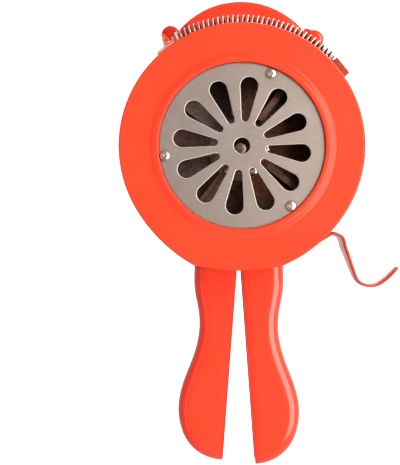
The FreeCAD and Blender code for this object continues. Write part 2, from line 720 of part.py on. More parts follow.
def back_plate():
    """Round plate behind the drum, with the neck that carries the grips."""
    body = plate(necked_outline(NECK_HALF, NECK_SHIFT, NECK_BOTTOM, 0.0), DRUM_END, PLATE_BACK)
    body = body.cut(rod(BEARING_R, DRUM_END, PLATE_BACK))
    body = body.cut(rod(CRANK_PIVOT_R + RUN_GAP, PLATE_BACK - CRANK_PIVOT_DEEP, PLATE_BACK, CRANK_X, CRANK_Z))
    for degrees in PLATE_SCREW_ANGLES + CASE_MOUNT_ANGLES:
        x, z = polar(DRUM_SCREW_AT, degrees)
        body = body.cut(screw_hole(x, z, DRUM_END, PLATE_BACK))
    for x, z in grip_screw_places():
        body = body.cut(screw_hole(x, z, DRUM_END, PLATE_BACK))
    return body


def grip_screw_places():
    """Two screws for each grip half."""
    return [(NECK_SHIFT + side * x, GRIP_TOP + up) for side in (-1, 1)
            for x, up in (GRIP_SCREW_UPPER, GRIP_SCREW_LOWER)]


def plate_screws():
    """Screws that hold the back plate to the drum."""
    length = PLATE_THICK + SCREW_BITE - SCREW_TIP_GAP
    places = [polar(DRUM_SCREW_AT, degrees) for degrees in PLATE_SCREW_ANGLES]
    return Part.makeCompound([pan_screw(x, z, PLATE_BACK, length, False) for x, z in places])


def case_mount_screws():
    """Screws inside the gear case, through its front wall and the back plate into the drum."""
    length = CASE_WALL + PLATE_THICK + SCREW_BITE - SCREW_TIP_GAP
    places = [polar(DRUM_SCREW_AT, degrees) for degrees in CASE_MOUNT_ANGLES]
    return Part.makeCompound([pan_screw(x, z, PLATE_BACK + CASE_WALL, length, False) for x, z in places])


def grip_outline(inset, tip, beyond):
    """Front view of the right grip, drawn in by an inset, and reaching past its inner side."""
    length = GRIP_TOP - tip
    slant = (GRIP_INNER_TIP - GRIP_INNER_TOP) / length
    top = GRIP_TOP - inset
    curve = [(GRIP_WIDTH * GRIP_SIDE[0][1] - inset, top)]
    for down, out in GRIP_SIDE:
        turn = down ** 6       # near the tip the outline runs level, so the inset lifts it there
        curve.append((GRIP_WIDTH * out - inset, GRIP_TOP - length * down + inset * turn))
    end = (GRIP_INNER_TIP - beyond, tip + inset)
    curve.append(end)
    spline = Part.BSplineCurve()
    spline.interpolate(flat(curve))
    start = (GRIP_INNER_TOP - beyond + slant * inset, top)
    lines = Part.makePolygon(flat([end, start, curve[0]]))
    return Part.Wire([spline.toShape()] + lines.Edges)


def rounded_grip(inset, tip, beyond):
    """The grip's form with its two outer edges rounded."""
    block = plate(grip_outline(inset, tip, beyond), GRIP_FRONT + inset, GRIP_FRONT + GRIP_DEPTH - inset)
    edges = [edge for edge in block.Edges if edge.Curve.TypeId == "Part::GeomBSplineCurve"]
    return block.makeFillet(GRIP_ROUND - inset, edges)


def grip_half(tip):
    """One half of the pistol grip: a shell that is open towards the other half, with a screw tang."""
    cavity = rounded_grip(GRIP_WALL, tip, 3 * GRIP_WALL)
    shell = rounded_grip(0.0, tip, 0.0).cut(cavity)
    tang_box = Part.makeBox(TANG_OUTER - GRIP_INNER_TOP, GRIP_WALL, TANG_LENGTH + GRIP_WALL,
                            at(GRIP_INNER_TOP, GRIP_FRONT, GRIP_TOP - GRIP_WALL))
    body = shell.fuse(tang_box).removeSplitter()
    for x, up in (GRIP_SCREW_UPPER, GRIP_SCREW_LOWER):
        body = body.cut(screw_hole(x, GRIP_TOP + up, GRIP_FRONT, GRIP_FRONT + GRIP_WALL))
    return body


def right_grip():
    """The grip half on the trigger's side."""
    half = grip_half(GRIP_TIP - RIGHT_TIP_DROP)
    half.translate(V(NECK_SHIFT, 0, 0))
    return half


def left_grip():
    """The other grip half, a mirror image with a shorter tip."""
    half = grip_half(GRIP_TIP).mirror(at(0, 0, 0), V(1, 0, 0))
    half.translate(V(NECK_SHIFT, 0, 0))
    return half


def grip_screws():
    """Two screws for each grip half, from behind into the neck."""
    length = GRIP_WALL + PLATE_THICK
    seat = GRIP_FRONT + GRIP_WALL
    return Part.makeCompound([pan_screw(x, z, seat, length, False) for x, z in grip_screw_places()])


def ear_places():
    """The four ears: two beside the top of the case and two beside its lower end."""
    places = []
    for side in (-1, 1):
        x, z = polar(CASE_R + EAR_OUT, CASE_DIRECTION + side * EAR_SPREAD)
        places.append((CASE_X + x, CASE_Z + z))
        places.append(polar(LOW_EAR_AT, CASE_DIRECTION + side * LOW_EAR_SPREAD))
    return places


def ear_web(front, back):
    """The square corner over the right upper ear."""
    ear_x, ear_z = ear_places()[0]
    bearing = CASE_DIRECTION - EAR_SPREAD
    out_x, out_z = polar(1.0, bearing)
    points = [(ear_x + out * out_x - aside * out_z, ear_z + out * out_z + aside * out_x)
              for out, aside in EAR_WEB]
    return plate(polygon(points), front, back)


def case_form(inset, front, back):
    """The pear shape round the gear train, without its ears."""
    return plate(pear(CASE_LOW_R - inset, CASE_R - inset, CASE_UP, CASE_DIRECTION), front, back)


def rounded_end(solid, end, radius):
    """The solid with the edges of its flat end at this depth rounded."""
    face_y = at(0, end, 0).y
    rim = [edge for edge in solid.Edges if all(abs(v.Y - face_y) < 0.01 for v in edge.Vertexes)]
    return solid.makeFillet(radius, rim)


def eared_case(front, back, end, radius):
    """The case's form with its ears, rounded at one end."""
    form = rounded_end(case_form(0.0, front, back), end, radius)
    ears = [rounded_end(rod(EAR_R, front, back, x, z), end, radius) for x, z in ear_places()]
    if end == front:
        web = ear_web(front + radius, back)
    else:
        web = ear_web(front, back - radius)
    return form.fuse(ears + [web]).removeSplitter()


def gear_case():
    """Cast box for the gears, open at the back."""
    body = eared_case(PLATE_BACK, CASE_BACK, PLATE_BACK, CASE_ROUND)
    body = body.cut(case_form(CASE_WALL, PLATE_BACK + CASE_WALL, CASE_BACK))
    body = body.cut(rod(BEARING_R, PLATE_BACK, PLATE_BACK + CASE_WALL))
    body = body.cut(rod(CRANK_PIVOT_R + RUN_GAP, PLATE_BACK, PLATE_BACK + CASE_WALL, CRANK_X, CRANK_Z))
    body = body.cut(rod(IDLER_AXLE_R, PLATE_BACK, PLATE_BACK + CASE_WALL, IDLER_X, IDLER_Z))
    for degrees in CASE_MOUNT_ANGLES:
        x, z = polar(DRUM_SCREW_AT, degrees)
        body = body.cut(screw_hole(x, z, PLATE_BACK, PLATE_BACK + CASE_WALL))
    for x, z in ear_places():
        body = body.cut(screw_hole(x, z, CASE_BACK - 2 * SCREW_BITE, CASE_BACK))
    return body


def gear_case_cover():
    """Rear cover with bosses for the rotor bearing, the idler axle and the crank bush."""
    body = eared_case(CASE_BACK, COVER_BACK, COVER_BACK, COVER_ROUND)
    body = body.fuse(rod(BEARING_R + CASE_WALL, CASE_BACK - BEARING_WIDTH + COVER_THICK - BEARING_COVER,
                         CASE_BACK))
    body = body.fuse(rod(BUSH_R + CASE_WALL, BUSH_INNER_END, CASE_BACK, CRANK_X, CRANK_Z))
    body = body.fuse(rod(IDLER_AXLE_R + CASE_WALL, HIGH_GEAR_AT + GEAR_WIDTH + 2 * PINION_OVERHANG, CASE_BACK,
                         IDLER_X, IDLER_Z))
    body = body.cut(rod(BEARING_R, CASE_BACK - BEARING_WIDTH, COVER_BACK - BEARING_COVER))
    body = body.cut(rod(BUSH_R, BUSH_INNER_END, COVER_BACK, CRANK_X, CRANK_Z))
    body = body.cut(rod(IDLER_AXLE_R, HIGH_GEAR_AT, COVER_BACK, IDLER_X, IDLER_Z))
    for x, z in ear_places():
        body = body.cut(screw_hole(x, z, CASE_BACK, COVER_BACK))
    return body.removeSplitter()


def case_screws():
    """Screws in the four ears."""
    length = COVER_THICK + SCREW_BITE
    return Part.makeCompound([pan_screw(x, z, COVER_BACK, length, False) for x, z in ear_places()])


def involute(angle):
    """The involute function."""
    return math.tan(angle) - angle


def gear(teeth, front, back, x, z, phase):
    """A spur gear with a tooth centred on this angle."""
    pitch_r = MODULE * teeth / 2
    base_r = pitch_r * math.cos(PRESSURE)
    tip_r = pitch_r + MODULE * ADDENDUM
    root_r = pitch_r - MODULE * DEDENDUM
    foot_r = max(base_r, root_r + 0.05)
    half_tooth = math.pi / (2 * teeth) - FLANK_GAP / pitch_r
    flank = []
    for radius in (foot_r, (foot_r + pitch_r) / 2, pitch_r, (pitch_r + tip_r) / 2, tip_r):
        drop = involute(PRESSURE) - involute(math.acos(min(1.0, base_r / radius)))
        flank.append((radius, half_tooth + drop))
    flank.insert(0, (root_r, flank[0][1]))
    points = []
    for i in range(teeth):
        middle = math.radians(phase) + 2 * math.pi * i / teeth
        points += [(radius, middle - half) for radius, half in flank]
        points += [(radius, middle + half) for radius, half in reversed(flank)]
    outline = [(x + radius * math.cos(angle), z + radius * math.sin(angle)) for radius, angle in points]
    return plate(polygon(outline), front, back)


def idler_gear():
    """The idler: a wheel driven onto one piece with its pinion, turning on the fixed axle."""
    half_pitch = 180.0 / WHEEL_TEETH
    wheel = gear(WHEEL_TEETH, LOW_GEAR_AT, LOW_GEAR_AT + GEAR_WIDTH, IDLER_X, IDLER_Z,
                 CASE_DIRECTION + 180 + half_pitch)
    pinion = gear(PINION_TEETH, LOW_GEAR_AT + GEAR_WIDTH, HIGH_GEAR_AT + GEAR_WIDTH + PINION_OVERHANG,
                  IDLER_X, IDLER_Z, CASE_DIRECTION)
    bore = rod(IDLER_AXLE_R + RUN_GAP, LOW_GEAR_AT, CASE_BACK, IDLER_X, IDLER_Z)
    return wheel.fuse(pinion).cut(bore)


def idler_axle():
    """The fixed axle, held in the case wall and in the cover."""
    return rod(IDLER_AXLE_R, PLATE_BACK, COVER_BACK - AXLE_END_GAP, IDLER_X, IDLER_Z)


def crank_gear():
    """The large wheel on the crank shaft."""
    half_pitch = 180.0 / WHEEL_TEETH
    wheel = gear(WHEEL_TEETH, HIGH_GEAR_AT, HIGH_GEAR_AT + GEAR_WIDTH, CRANK_X, CRANK_Z,
                 CASE_DIRECTION + 180 + half_pitch)
    hub = rod(CRANK_R * 2, HIGH_GEAR_AT, BUSH_INNER_END - ARM_GAP, CRANK_X, CRANK_Z)
    return wheel.fuse(hub).cut(rod(CRANK_R, HIGH_GEAR_AT, BUSH_INNER_END, CRANK_X, CRANK_Z))


def crank_shaft():
    """Stepped shaft: a front pivot, the gear seat, the bush journal and the threaded end."""
    pivot = rod(CRANK_PIVOT_R, PLATE_BACK - CRANK_PIVOT_DEEP + PIVOT_END_GAP, HIGH_GEAR_AT, CRANK_X, CRANK_Z)
    journal = rod(CRANK_R, HIGH_GEAR_AT, ARM_BACK + CRANK_NUT_HEIGHT + CRANK_THREAD_OVER, CRANK_X, CRANK_Z)
    return pivot.fuse(journal)


def crank_bush():
    """Flanged brass bush in the cover."""
    sleeve = rod(BUSH_R, BUSH_INNER_END, COVER_BACK, CRANK_X, CRANK_Z)
    flange = rod(BUSH_FLANGE_R, COVER_BACK, BUSH_BACK, CRANK_X, CRANK_Z)
    return sleeve.fuse(flange).cut(rod(CRANK_R + RUN_GAP, BUSH_INNER_END, BUSH_BACK, CRANK_X, CRANK_Z))


def crank_arm():
    """Flat arm from the shaft down to the knob's spindle."""
    arm = plate(pear(ARM_HUB_R, ARM_END_R, ARM_LENGTH, -90, CRANK_X, CRANK_Z), ARM_FRONT, ARM_BACK)
    rim = [edge for edge in arm.Edges
           if abs(edge.Vertexes[0].Y - edge.Vertexes[-1].Y) < 0.01]
    arm = arm.makeFillet(ARM_ROUND, rim)
    arm = arm.cut(rod(CRANK_R, ARM_FRONT, ARM_BACK, CRANK_X, CRANK_Z))
    return arm.cut(rod(SPINDLE_R, ARM_FRONT, ARM_BACK, KNOB_X, KNOB_Z))


def crank_nut():
    """Hexagon nut on the end of the crank shaft."""
    nut = plate(hexagon(CRANK_NUT_FLATS, CRANK_X, CRANK_Z), ARM_BACK, ARM_BACK + CRANK_NUT_HEIGHT)
    return nut.cut(rod(CRANK_R, ARM_BACK, ARM_BACK + CRANK_NUT_HEIGHT, CRANK_X, CRANK_Z))


def knob_spindle():
    """Pin fixed in the arm, with a head that keeps the knob on."""
    pin = rod(SPINDLE_R, ARM_FRONT, KNOB_BACK + KNOB_GAP, KNOB_X, KNOB_Z)
    return pin.fuse(rod(SPINDLE_HEAD_R, KNOB_BACK + KNOB_GAP, KNOB_BACK + KNOB_GAP + SPINDLE_HEAD,
                        KNOB_X, KNOB_Z))


def crank_knob():
    """Barrel-shaped knob that turns on its spindle."""
    profile = Part.BSplineCurve()
    shape = [(KNOB_NECK_R, 0.0)] + [(KNOB_R * out, along) for out, along in KNOB_SIDE] + [(KNOB_NECK_R, 1.0)]
    profile.interpolate([V(radius, KNOB_FRONT + share * KNOB_LENGTH, 0) for radius, share in shape])
    bore = SPINDLE_R + RUN_GAP
    sides = Part.makePolygon([V(KNOB_NECK_R, KNOB_BACK, 0), V(bore, KNOB_BACK, 0), V(bore, KNOB_FRONT, 0),
                              V(KNOB_NECK_R, KNOB_FRONT, 0)])
    knob = Part.Face(Part.Wire([profile.toShape()] + sides.Edges)).revolve(V(0, 0, 0), BACK, 360)
    knob.translate(at(KNOB_X, 0, KNOB_Z))
    return knob


def rotor_wheel():
    """Ported drum of the rotor with its back disc and the radial vanes."""
    wheel = rod(ROTOR_R, ROTOR_BACK - ROTOR_DISC, ROTOR_BACK)
    rim = ring(ROTOR_R, ROTOR_R - ROTOR_WALL, ROTOR_FRONT, ROTOR_BACK)
    vane_length = ROTOR_R - ROTOR_WALL / 2 - VANE_INNER
    web = Part.makeBox(vane_length, ROTOR_BACK - VANE_FRONT - ROTOR_DISC / 2, VANE_THICK,
                       at(VANE_INNER, VANE_FRONT, -VANE_THICK / 2))
    lip = Part.makeBox(vane_length, VANE_THICK, VANE_LIP, at(VANE_INNER, VANE_FRONT, -VANE_THICK / 2))
    pitch = 360.0 / PORTS
    for i in range(PORTS):
        rim = rim.cut(window(ROTOR_R - 3 * ROTOR_WALL, ROTOR_R + CUT_OVER, VANE_PHASE + pitch * (i + 0.5),
                             ROTOR_PORT_ANGLE, PORT_FRONT, PORT_LENGTH - ROTOR_PORT_SHORT))
    wheel = wheel.fuse(rim)
    hub_room = rod(HUB_R + HUB_ROOM, VANE_FRONT - CUT_OVER, ROTOR_BACK - ROTOR_DISC)
    vanes = [spin(web.fuse(lip), VANE_PHASE + pitch * i).cut(hub_room) for i in range(PORTS)]
    wheel = wheel.fuse(vanes).removeSplitter()
    for x, z in hub_screw_places():
        wheel = wheel.cut(screw_hole(x, z, ROTOR_BACK - ROTOR_DISC, ROTOR_BACK))
    return wheel.cut(rod(HUB_BOSS_R, ROTOR_BACK - ROTOR_DISC, ROTOR_BACK))


def hub_screw_places():
    """Places of the screws between the hub flange and the rotor disc."""
    return [polar(HUB_SCREW_AT, HUB_SCREW_PHASE + i * 360.0 / HUB_SCREWS) for i in range(HUB_SCREWS)]


def rotor_hub():
    """Flanged hub that carries the wheel on its shaft."""
    flange_front = ROTOR_BACK - ROTOR_DISC - HUB_THICK
    boss_back = ROTOR_BACK + HUB_BOSS_REACH
    hub = rod(HUB_R, flange_front, ROTOR_BACK - ROTOR_DISC).fuse(rod(HUB_BOSS_R, flange_front, boss_back))
    for x, z in hub_screw_places():
        hub = hub.cut(screw_hole(x, z, flange_front, ROTOR_BACK - ROTOR_DISC))
    return hub.cut(rod(SHAFT_R, flange_front, boss_back))


def hub_screws():
    """Small screws on the hub flange."""
    seat = ROTOR_BACK - ROTOR_DISC - HUB_THICK
    return Part.makeCompound([pan_screw(x, z, seat, HUB_THICK + ROTOR_DISC) for x, z in hub_screw_places()])


def rotor_shaft():
    """Shaft through the hub, both bearings and the pinion."""
    return rod(SHAFT_R, SHAFT_FRONT, COVER_BACK - BEARING_COVER - SHAFT_END_GAP)


def rotor_nut():
    """Round cap nut that clamps the hub on the shaft."""
    back = ROTOR_BACK - ROTOR_DISC - HUB_THICK
    cap = turned([(0, CAP_FRONT), (CAP_TOP_R, CAP_FRONT + CAP_TOP_DROP), (CAP_R, CAP_FRONT + CAP_DOME),
                  (CAP_R, back), (0, back)])
    return cap.cut(rod(SHAFT_R, SHAFT_FRONT, back))


def rotor_pinion():
    """Pinion on the rotor shaft, in mesh with the idler wheel."""
    pinion = gear(PINION_TEETH, LOW_GEAR_AT - PINION_OVERHANG / 2, LOW_GEAR_AT + GEAR_WIDTH + PINION_OVERHANG,
                  0, 0, CASE_DIRECTION)
    return pinion.cut(rod(SHAFT_R, LOW_GEAR_AT - PINION_OVERHANG, LOW_GEAR_AT + 2 * GEAR_WIDTH))


def front_bearing():
    """Bearing in the back plate and the case wall."""
    return ring(BEARING_R, SHAFT_R + BEARING_GAP, DRUM_END, DRUM_END + BEARING_WIDTH)


def rear_bearing():
    """Bearing in the cover's boss."""
    return ring(BEARING_R, SHAFT_R + BEARING_GAP, CASE_BACK - BEARING_WIDTH + BEARING_COVER,
                COVER_BACK - BEARING_COVER)


NODES = {
    "front_housing": front_housing,
    "intake_grille": intake_grille,
    "grille_screws": grille_screws,
    "spring_anchor": spring_anchor,
    "anchor_strap": anchor_strap,
    "anchor_screw": anchor_screw,
    "back_plate": back_plate,
    "plate_screws": plate_screws,
    "case_mount_screws": case_mount_screws,
    "left_grip": left_grip,
    "right_grip": right_grip,
    "grip_screws": grip_screws,
    "gear_case": gear_case,
    "gear_case_cover": gear_case_cover,
    "case_screws": case_screws,
    "front_rotor_bearing": front_bearing,
    "rear_rotor_bearing": rear_bearing,
    "idler_axle": idler_axle,
    "crank_bush": crank_bush,
    "rotor_wheel": rotor_wheel,
    "rotor_hub": rotor_hub,
    "hub_screws": hub_screws,
    "rotor_shaft": rotor_shaft,
    "rotor_nut": rotor_nut,
    "rotor_pinion": rotor_pinion,
    "idler_gear": idler_gear,
    "crank_gear": crank_gear,
    "crank_shaft": crank_shaft,
    "crank_arm": crank_arm,
    "crank_nut": crank_nut,
    "knob_spindle": knob_spindle,
    "crank_knob": crank_knob,
    "shutter_ring": shutter_ring,
    "trigger_hook": trigger_hook,
    "trigger_rivets": trigger_rivets,
    "return_spring": return_spring,
}

os.makedirs("parts", exist_ok=True)
for node, make in NODES.items():
    shape = make()
    if not shape.isValid() or shape.Volume <= 0:
        raise ValueError(node + " is not a sound solid")
    shape.exportStep("parts/" + node + ".step")
    print(node, len(shape.Solids), "solid(s)", round(shape.Volume, 1), "mm3")
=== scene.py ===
"""Hand crank siren: finish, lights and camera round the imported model. Metres, Z up, intake towards -Y."""
import json
import math

import bmesh
import bpy
from mathutils import Matrix, Vector


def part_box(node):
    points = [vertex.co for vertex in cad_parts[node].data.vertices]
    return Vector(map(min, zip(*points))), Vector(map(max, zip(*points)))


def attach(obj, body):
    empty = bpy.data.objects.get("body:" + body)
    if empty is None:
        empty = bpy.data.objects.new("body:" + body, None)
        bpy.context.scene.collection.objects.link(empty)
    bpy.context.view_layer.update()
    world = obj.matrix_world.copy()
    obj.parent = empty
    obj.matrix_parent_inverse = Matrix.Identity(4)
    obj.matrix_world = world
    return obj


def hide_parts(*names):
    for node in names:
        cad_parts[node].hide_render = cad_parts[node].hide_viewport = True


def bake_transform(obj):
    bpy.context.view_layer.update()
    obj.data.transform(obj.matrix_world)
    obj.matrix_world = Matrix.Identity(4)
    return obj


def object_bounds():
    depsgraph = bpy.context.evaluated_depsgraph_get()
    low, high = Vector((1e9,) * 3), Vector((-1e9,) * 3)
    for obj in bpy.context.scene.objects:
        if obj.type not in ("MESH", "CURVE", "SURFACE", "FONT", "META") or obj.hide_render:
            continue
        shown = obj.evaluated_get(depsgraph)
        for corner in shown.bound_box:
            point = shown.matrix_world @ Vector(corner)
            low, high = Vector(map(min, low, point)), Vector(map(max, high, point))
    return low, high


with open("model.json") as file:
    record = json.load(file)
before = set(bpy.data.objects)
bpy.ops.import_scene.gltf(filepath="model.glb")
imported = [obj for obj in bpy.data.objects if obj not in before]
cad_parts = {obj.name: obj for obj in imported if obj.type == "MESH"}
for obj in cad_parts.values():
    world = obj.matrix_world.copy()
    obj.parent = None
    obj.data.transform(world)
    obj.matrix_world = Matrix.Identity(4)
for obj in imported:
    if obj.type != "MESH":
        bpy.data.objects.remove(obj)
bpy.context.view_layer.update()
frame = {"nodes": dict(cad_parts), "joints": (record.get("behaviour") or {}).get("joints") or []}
NODES = frame["nodes"]
JOINTS = {joint["name"]: joint for joint in frame["joints"]}
MM = 0.001

# The rotor axis, and the depth of the lip's crest, from the frame
AXIS = Vector(JOINTS["rotor_turn"]["pos_m"])
LIP_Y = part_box("front_housing")[0].y

# Sizes in millimetres and angles in degrees that follow the construction
GRILLE_THICK = 1.0
GRILLE_HOLE_R = 5.0
SLOTS = 12
SLOT_PHASE = 83.0
SLOT_INNER = (16.9, 2.25)       # distance from the middle, and radius, of a slot's inner round
SLOT_OUTER = (36.6, 5.5)        # the same of its outer round
HEAD_R = 3.1
HEAD_HEIGHT = 1.9
SHANK_R = 1.45
ANCHOR_SCREW_AT = 126.0
LUG_EDGE = 43.2                 # and to the ring's lug here
SPRING_R = 4.0
SPRING_TURNS = 35
SPRING_FROM = 44.6
SPRING_TO = 122.2
SPRING_LINE_R = 78.3
SPRING_DEPTH = 15.0
HOOK_SEAT_R = 74.1
HOOK_FOOT = (-73.0, -58.0)
HOOK_DEPTH = 22.85
HOOK_LINE = ((47.4, -58.6), (53.2, -54.9), (56.6, -53.2), (60.4, -54.2), (62.6, -55.8), (63.7, -58.2),
             (64.4, -61.4), (66.2, -66.0), (68.0, -71.0), (69.9, -76.0), (71.4, -79.8), (72.9, -82.5),
             (75.6, -84.7), (80.4, -86.0), (85.3, -85.3), (90.1, -82.5), (94.4, -78.6), (98.4, -74.4))
HOOK_WIDTHS = ((58.0, 24.0), (65.0, 21.5), (71.0, 13.0), (84.0, 9.6), (100.0, 9.0))     # width at each x

# Sizes in millimetres that only the scene's own pieces have
GRILLE_EDGE = 0.45              # radius of the stamped edges
CROSS_HALF = 1.9
CROSS_WIDTH = 0.85
CROSS_DEPTH = 1.3
CROSS_TAPER = (0.45, 2 / 3)     # the recess's length and width at its bottom, as shares
HEAD_RIM = 0.16                 # share of a head's height that is straight at its rim
HEAD_DOME = (0.8, 0.75)         # powers that flatten the dome: of its radius, and of its height
ANCHOR_HEAD_SCALE = 0.62        # the anchor screw's head is this share of the others
SHANK_TAPER_AT = 0.85           # share of a shank's length at which it starts to narrow
SHANK_TIP = 0.5                 # and its radius at the end, as a share
SPRING_WIRE_R = 0.74
HOOK_THICK = 2.0
HOOK_NOSE = 4.5                 # the strip's tip is rounded over this length
HOOK_NOSE_END = 0.2             # its width at the very end, as a share
COIL_END_REACH = 0.3            # the coil's first and last turns start at this share of its radius
COIL_GROWTH = 5.0               # and grow by this share in each turn
LEAD_STEP = 0.45                # degrees between two points of the straight wire at the coil's ends
LEAD_IN = (LUG_EDGE - 1.4, 6)   # first angle, and number of points
LEAD_OUT = (SPRING_TO + 0.4, 5)

# Fineness of these pieces: points round a section or an outline, or along a line
GRILLE_POINTS = 160
HOLE_POINTS = 48
SLOT_OUTER_STEPS = 26
SLOT_INNER_STEPS = 16
HEAD_POINTS = 48
HEAD_STEPS = 9
SHANK_POINTS = 20
SPRING_STEPS = 24
SPRING_SIDES = 14
HOOK_SIDES = 18
HOOK_FOOT_STEPS = 6
HOOK_STEPS = 6

WELD = 1e-6                     # points of a solid this near each other, in metres, are one

# Angles between faces, in degrees, from which an edge is sharp
HOOK_SHARP = 50
SCREW_SHARP = 35

# Which faces have a piece's first material, by how squarely they look outward, forward or back
# On the spring the second material is painted shade on the wire
SPRING_BRIGHT = 0.86            # looking away from the coil's middle, or forward
SPRING_FORWARD = 0.1            # forward ones count only up to this share behind the coil's middle
SPRING_END_BRIGHT = 3.0         # degrees at the anchor over which the whole wire is bright
HOOK_EDGE_FACING = 0.35         # looking forward more squarely than this is the strip's edge
GRILLE_FACING = 0.95            # looking forward or back

# Places of the object painted in other colours: painted shade on the case's left ear and round the hub's
# cap seat, and a darker, browner red on the ring's lug. How far they reach is in metres
EAR_SPOT = (-44.5, 44.0, 75.5)  # x, depth and z in millimetres
EAR_REACH = 0.0145
LUG_OUT = 0.7                   # the lug's spot is this far outside the spring's line, in millimetres
LUG_AT = 38.0                   # and at this angle
LUG_REACH = 0.011
HUB_SHADE_REACH = 0.011
SPOT_FIRM = 0.85                # a spot fades out beyond this share of its reach

# Photograph: the camera stands this far in front of the lip, and this far left of and under the rotor axis
CAMERA_AWAY = 0.570
CAMERA_LEFT = 0.0255
CAMERA_DOWN = 0.0527
CAMERA_LENS = 73.04             # in millimetres, as the sensor
SENSOR = 36.0

# Studio floor: its gap under the part, its reach, and its bend up into the backdrop
FLOOR_GAP = 0.10
FLOOR_REACH = 1.8
FLOOR_BEND = 0.7
FLOOR_STEPS = 12
FLOOR_GREY = (0.80, 0.80, 0.80, 1)
FLOOR_WHITE = (0.84, 0.84, 0.84, 1)
FLOOR_GLOW = 0.85

# Room: its least and most brightness and its bright side, first as it lights the part, then as mirrored
ROOM_LIT = (0.32, 0.76)
ROOM_BRIGHT_SIDE = (0.62, -0.77, -0.15)
ROOM_MIRRORED = (0.14, 0.86)
MIRRORED_BRIGHT_SIDE = (0.6, 0.8, 0)

# Lamps round LAMP_TARGET: bearing to the right of the camera's side and height angle in degrees, distance,
# width and height in metres, power, tint, and whether the part mirrors them
WHITE = (1.0, 1.0, 1.0)
WARM = (1.0, 0.90, 0.83)
LAMP_TARGET = Vector((0, 0, 0.10))
LAMPS = {
    "key_light": (43, 3, 1.2, 1.08, 1.50, 31, WARM, True),
    "left_light": (-44, 0, 1.2, 0.30, 1.40, 1.2, WHITE, True),
    "low_light": (-12, -50, 1.3, 0.80, 0.80, 9, WHITE, False),
    "back_light": (160, 40, 1.3, 0.80, 0.80, 9, WHITE, True),
}


def place(x, depth, z):
    """A point given in millimetres from the rotor axis and the lip's crest."""
    return Vector((AXIS.x + x * MM, LIP_Y + depth * MM, AXIS.z + z * MM))


def polar(radius, degrees):
    """x and z at this radius and angle round the rotor axis, in millimetres."""
    angle = math.radians(degrees)
    return radius * math.cos(angle), radius * math.sin(angle)


def spring_point(radial, deep, degrees):
    """A point near the spring's middle line: this far out, this far back and at this angle."""
    x, z = polar(SPRING_LINE_R + radial, degrees)
    return place(x, SPRING_DEPTH + deep, z)


def new_object(name, data):
    """An object in the scene with this data."""
    made = bpy.data.objects.new(name, data)
    bpy.context.scene.collection.objects.link(made)
    return made


# ---------------------------------------------------------------- materials

# Each colour is a pair, dark and light, between which a noise blends
RED = ((0.90, 0.037, 0.011, 1), (0.98, 0.046, 0.015, 1))
PALE_RED = ((0.90, 0.043, 0.0145, 1), (0.98, 0.052, 0.019, 1))
DEEP_RED = ((0.90, 0.033, 0.006, 1), (0.98, 0.042, 0.009, 1))
SHADED_RED = ((0.60, 0.014, 0.002, 1), (0.72, 0.021, 0.004, 1))
# a darker, browner red on the ring's lug and on the trigger strip's front edge
BROWNER_RED = ((0.34, 0.030, 0.010, 1), (0.48, 0.055, 0.024, 1))
# painted highlight along edges
EDGE_HIGHLIGHT_RED = ((0.80, 0.26, 0.17, 1), (0.92, 0.42, 0.32, 1))
# painted shade, laid into corners and gaps
CORNER_SHADE = ((0.10, 0.016, 0.008, 1), (0.26, 0.030, 0.014, 1))
STAMPED_STEEL = ((0.285, 0.239, 0.210, 1), (0.40, 0.347, 0.315, 1))
CUT_STEEL = ((0.66, 0.58, 0.53, 1), (0.84, 0.77, 0.71, 1))
PLATED = ((0.45, 0.36, 0.26, 1), (0.66, 0.57, 0.45, 1))
YELLOW_ZINC = ((0.70, 0.57, 0.43, 1), (0.88, 0.79, 0.66, 1))
WIRE_BRIGHT = ((0.64, 0.49, 0.41, 1), (0.88, 0.72, 0.62, 1))
# painted shade on the spring wire's inner side
WIRE_SHADE = ((0.09, 0.030, 0.020, 1), (0.20, 0.075, 0.055, 1))
OILED_STEEL = ((0.22, 0.205, 0.19, 1), (0.40, 0.38, 0.355, 1))
TARNISHED = ((0.24, 0.175, 0.150, 1), (0.46, 0.36, 0.32, 1))
BRASS = ((0.50, 0.34, 0.10, 1), (0.78, 0.57, 0.22, 1))
CAST_GREY = ((0.13, 0.095, 0.08, 1), (0.27, 0.205, 0.18, 1))
CAST_DARK = ((0.085, 0.034, 0.019, 1), (0.21, 0.098, 0.055, 1))
# painted shade, black round the rotor cap's seat
HUB_SHADE = ((0.012, 0.005, 0.003, 1), (0.035, 0.016, 0.010, 1))
BLACK = ((0.006, 0.006, 0.007, 1), (0.022, 0.021, 0.02, 1))

# How open a place is where its painted shade starts to fade, and where there is none
CORNER_OPENS = (0.30, 0.92)

# Along an edge the rounded normal leaves the true one: their agreement where the painted highlight starts,
# and where it is full
EDGE_PARTS = (0.96, 0.80)
EDGE_REACH = 0.0010

# Cast pieces have painted light and shade: greyer to the left, darker brown to the right. The x range in
# metres, what is added to the grey's share at both its ends, and what the noise alone makes of that share
CAST_ACROSS = (-0.03, 0.03)
CAST_SHIFT = (0.55, -0.45)
CAST_SPREAD = (-1.0, 1.6)


def new_material(name):
    """An empty node material with its shader and output."""
    material = bpy.data.materials.new(name)
    material.use_nodes = True
    nodes = material.node_tree.nodes
    shader = nodes["Principled BSDF"]
    return material, nodes, material.node_tree.links, shader


def noise(nodes, links, scale, detail, stretch=(1, 1, 1), rough=0.5):
    """A noise texture on object coordinates."""
    where = nodes.new("ShaderNodeTexCoord")
    mapping = nodes.new("ShaderNodeMapping")
    mapping.inputs["Scale"].default_value = stretch
    links.new(where.outputs["Object"], mapping.inputs["Vector"])
    texture = nodes.new("ShaderNodeTexNoise")
    texture.inputs["Scale"].default_value = scale
    texture.inputs["Detail"].default_value = detail
    texture.inputs["Roughness"].default_value = rough
    links.new(mapping.outputs["Vector"], texture.inputs["Vector"])
    return texture.outputs["Fac"]


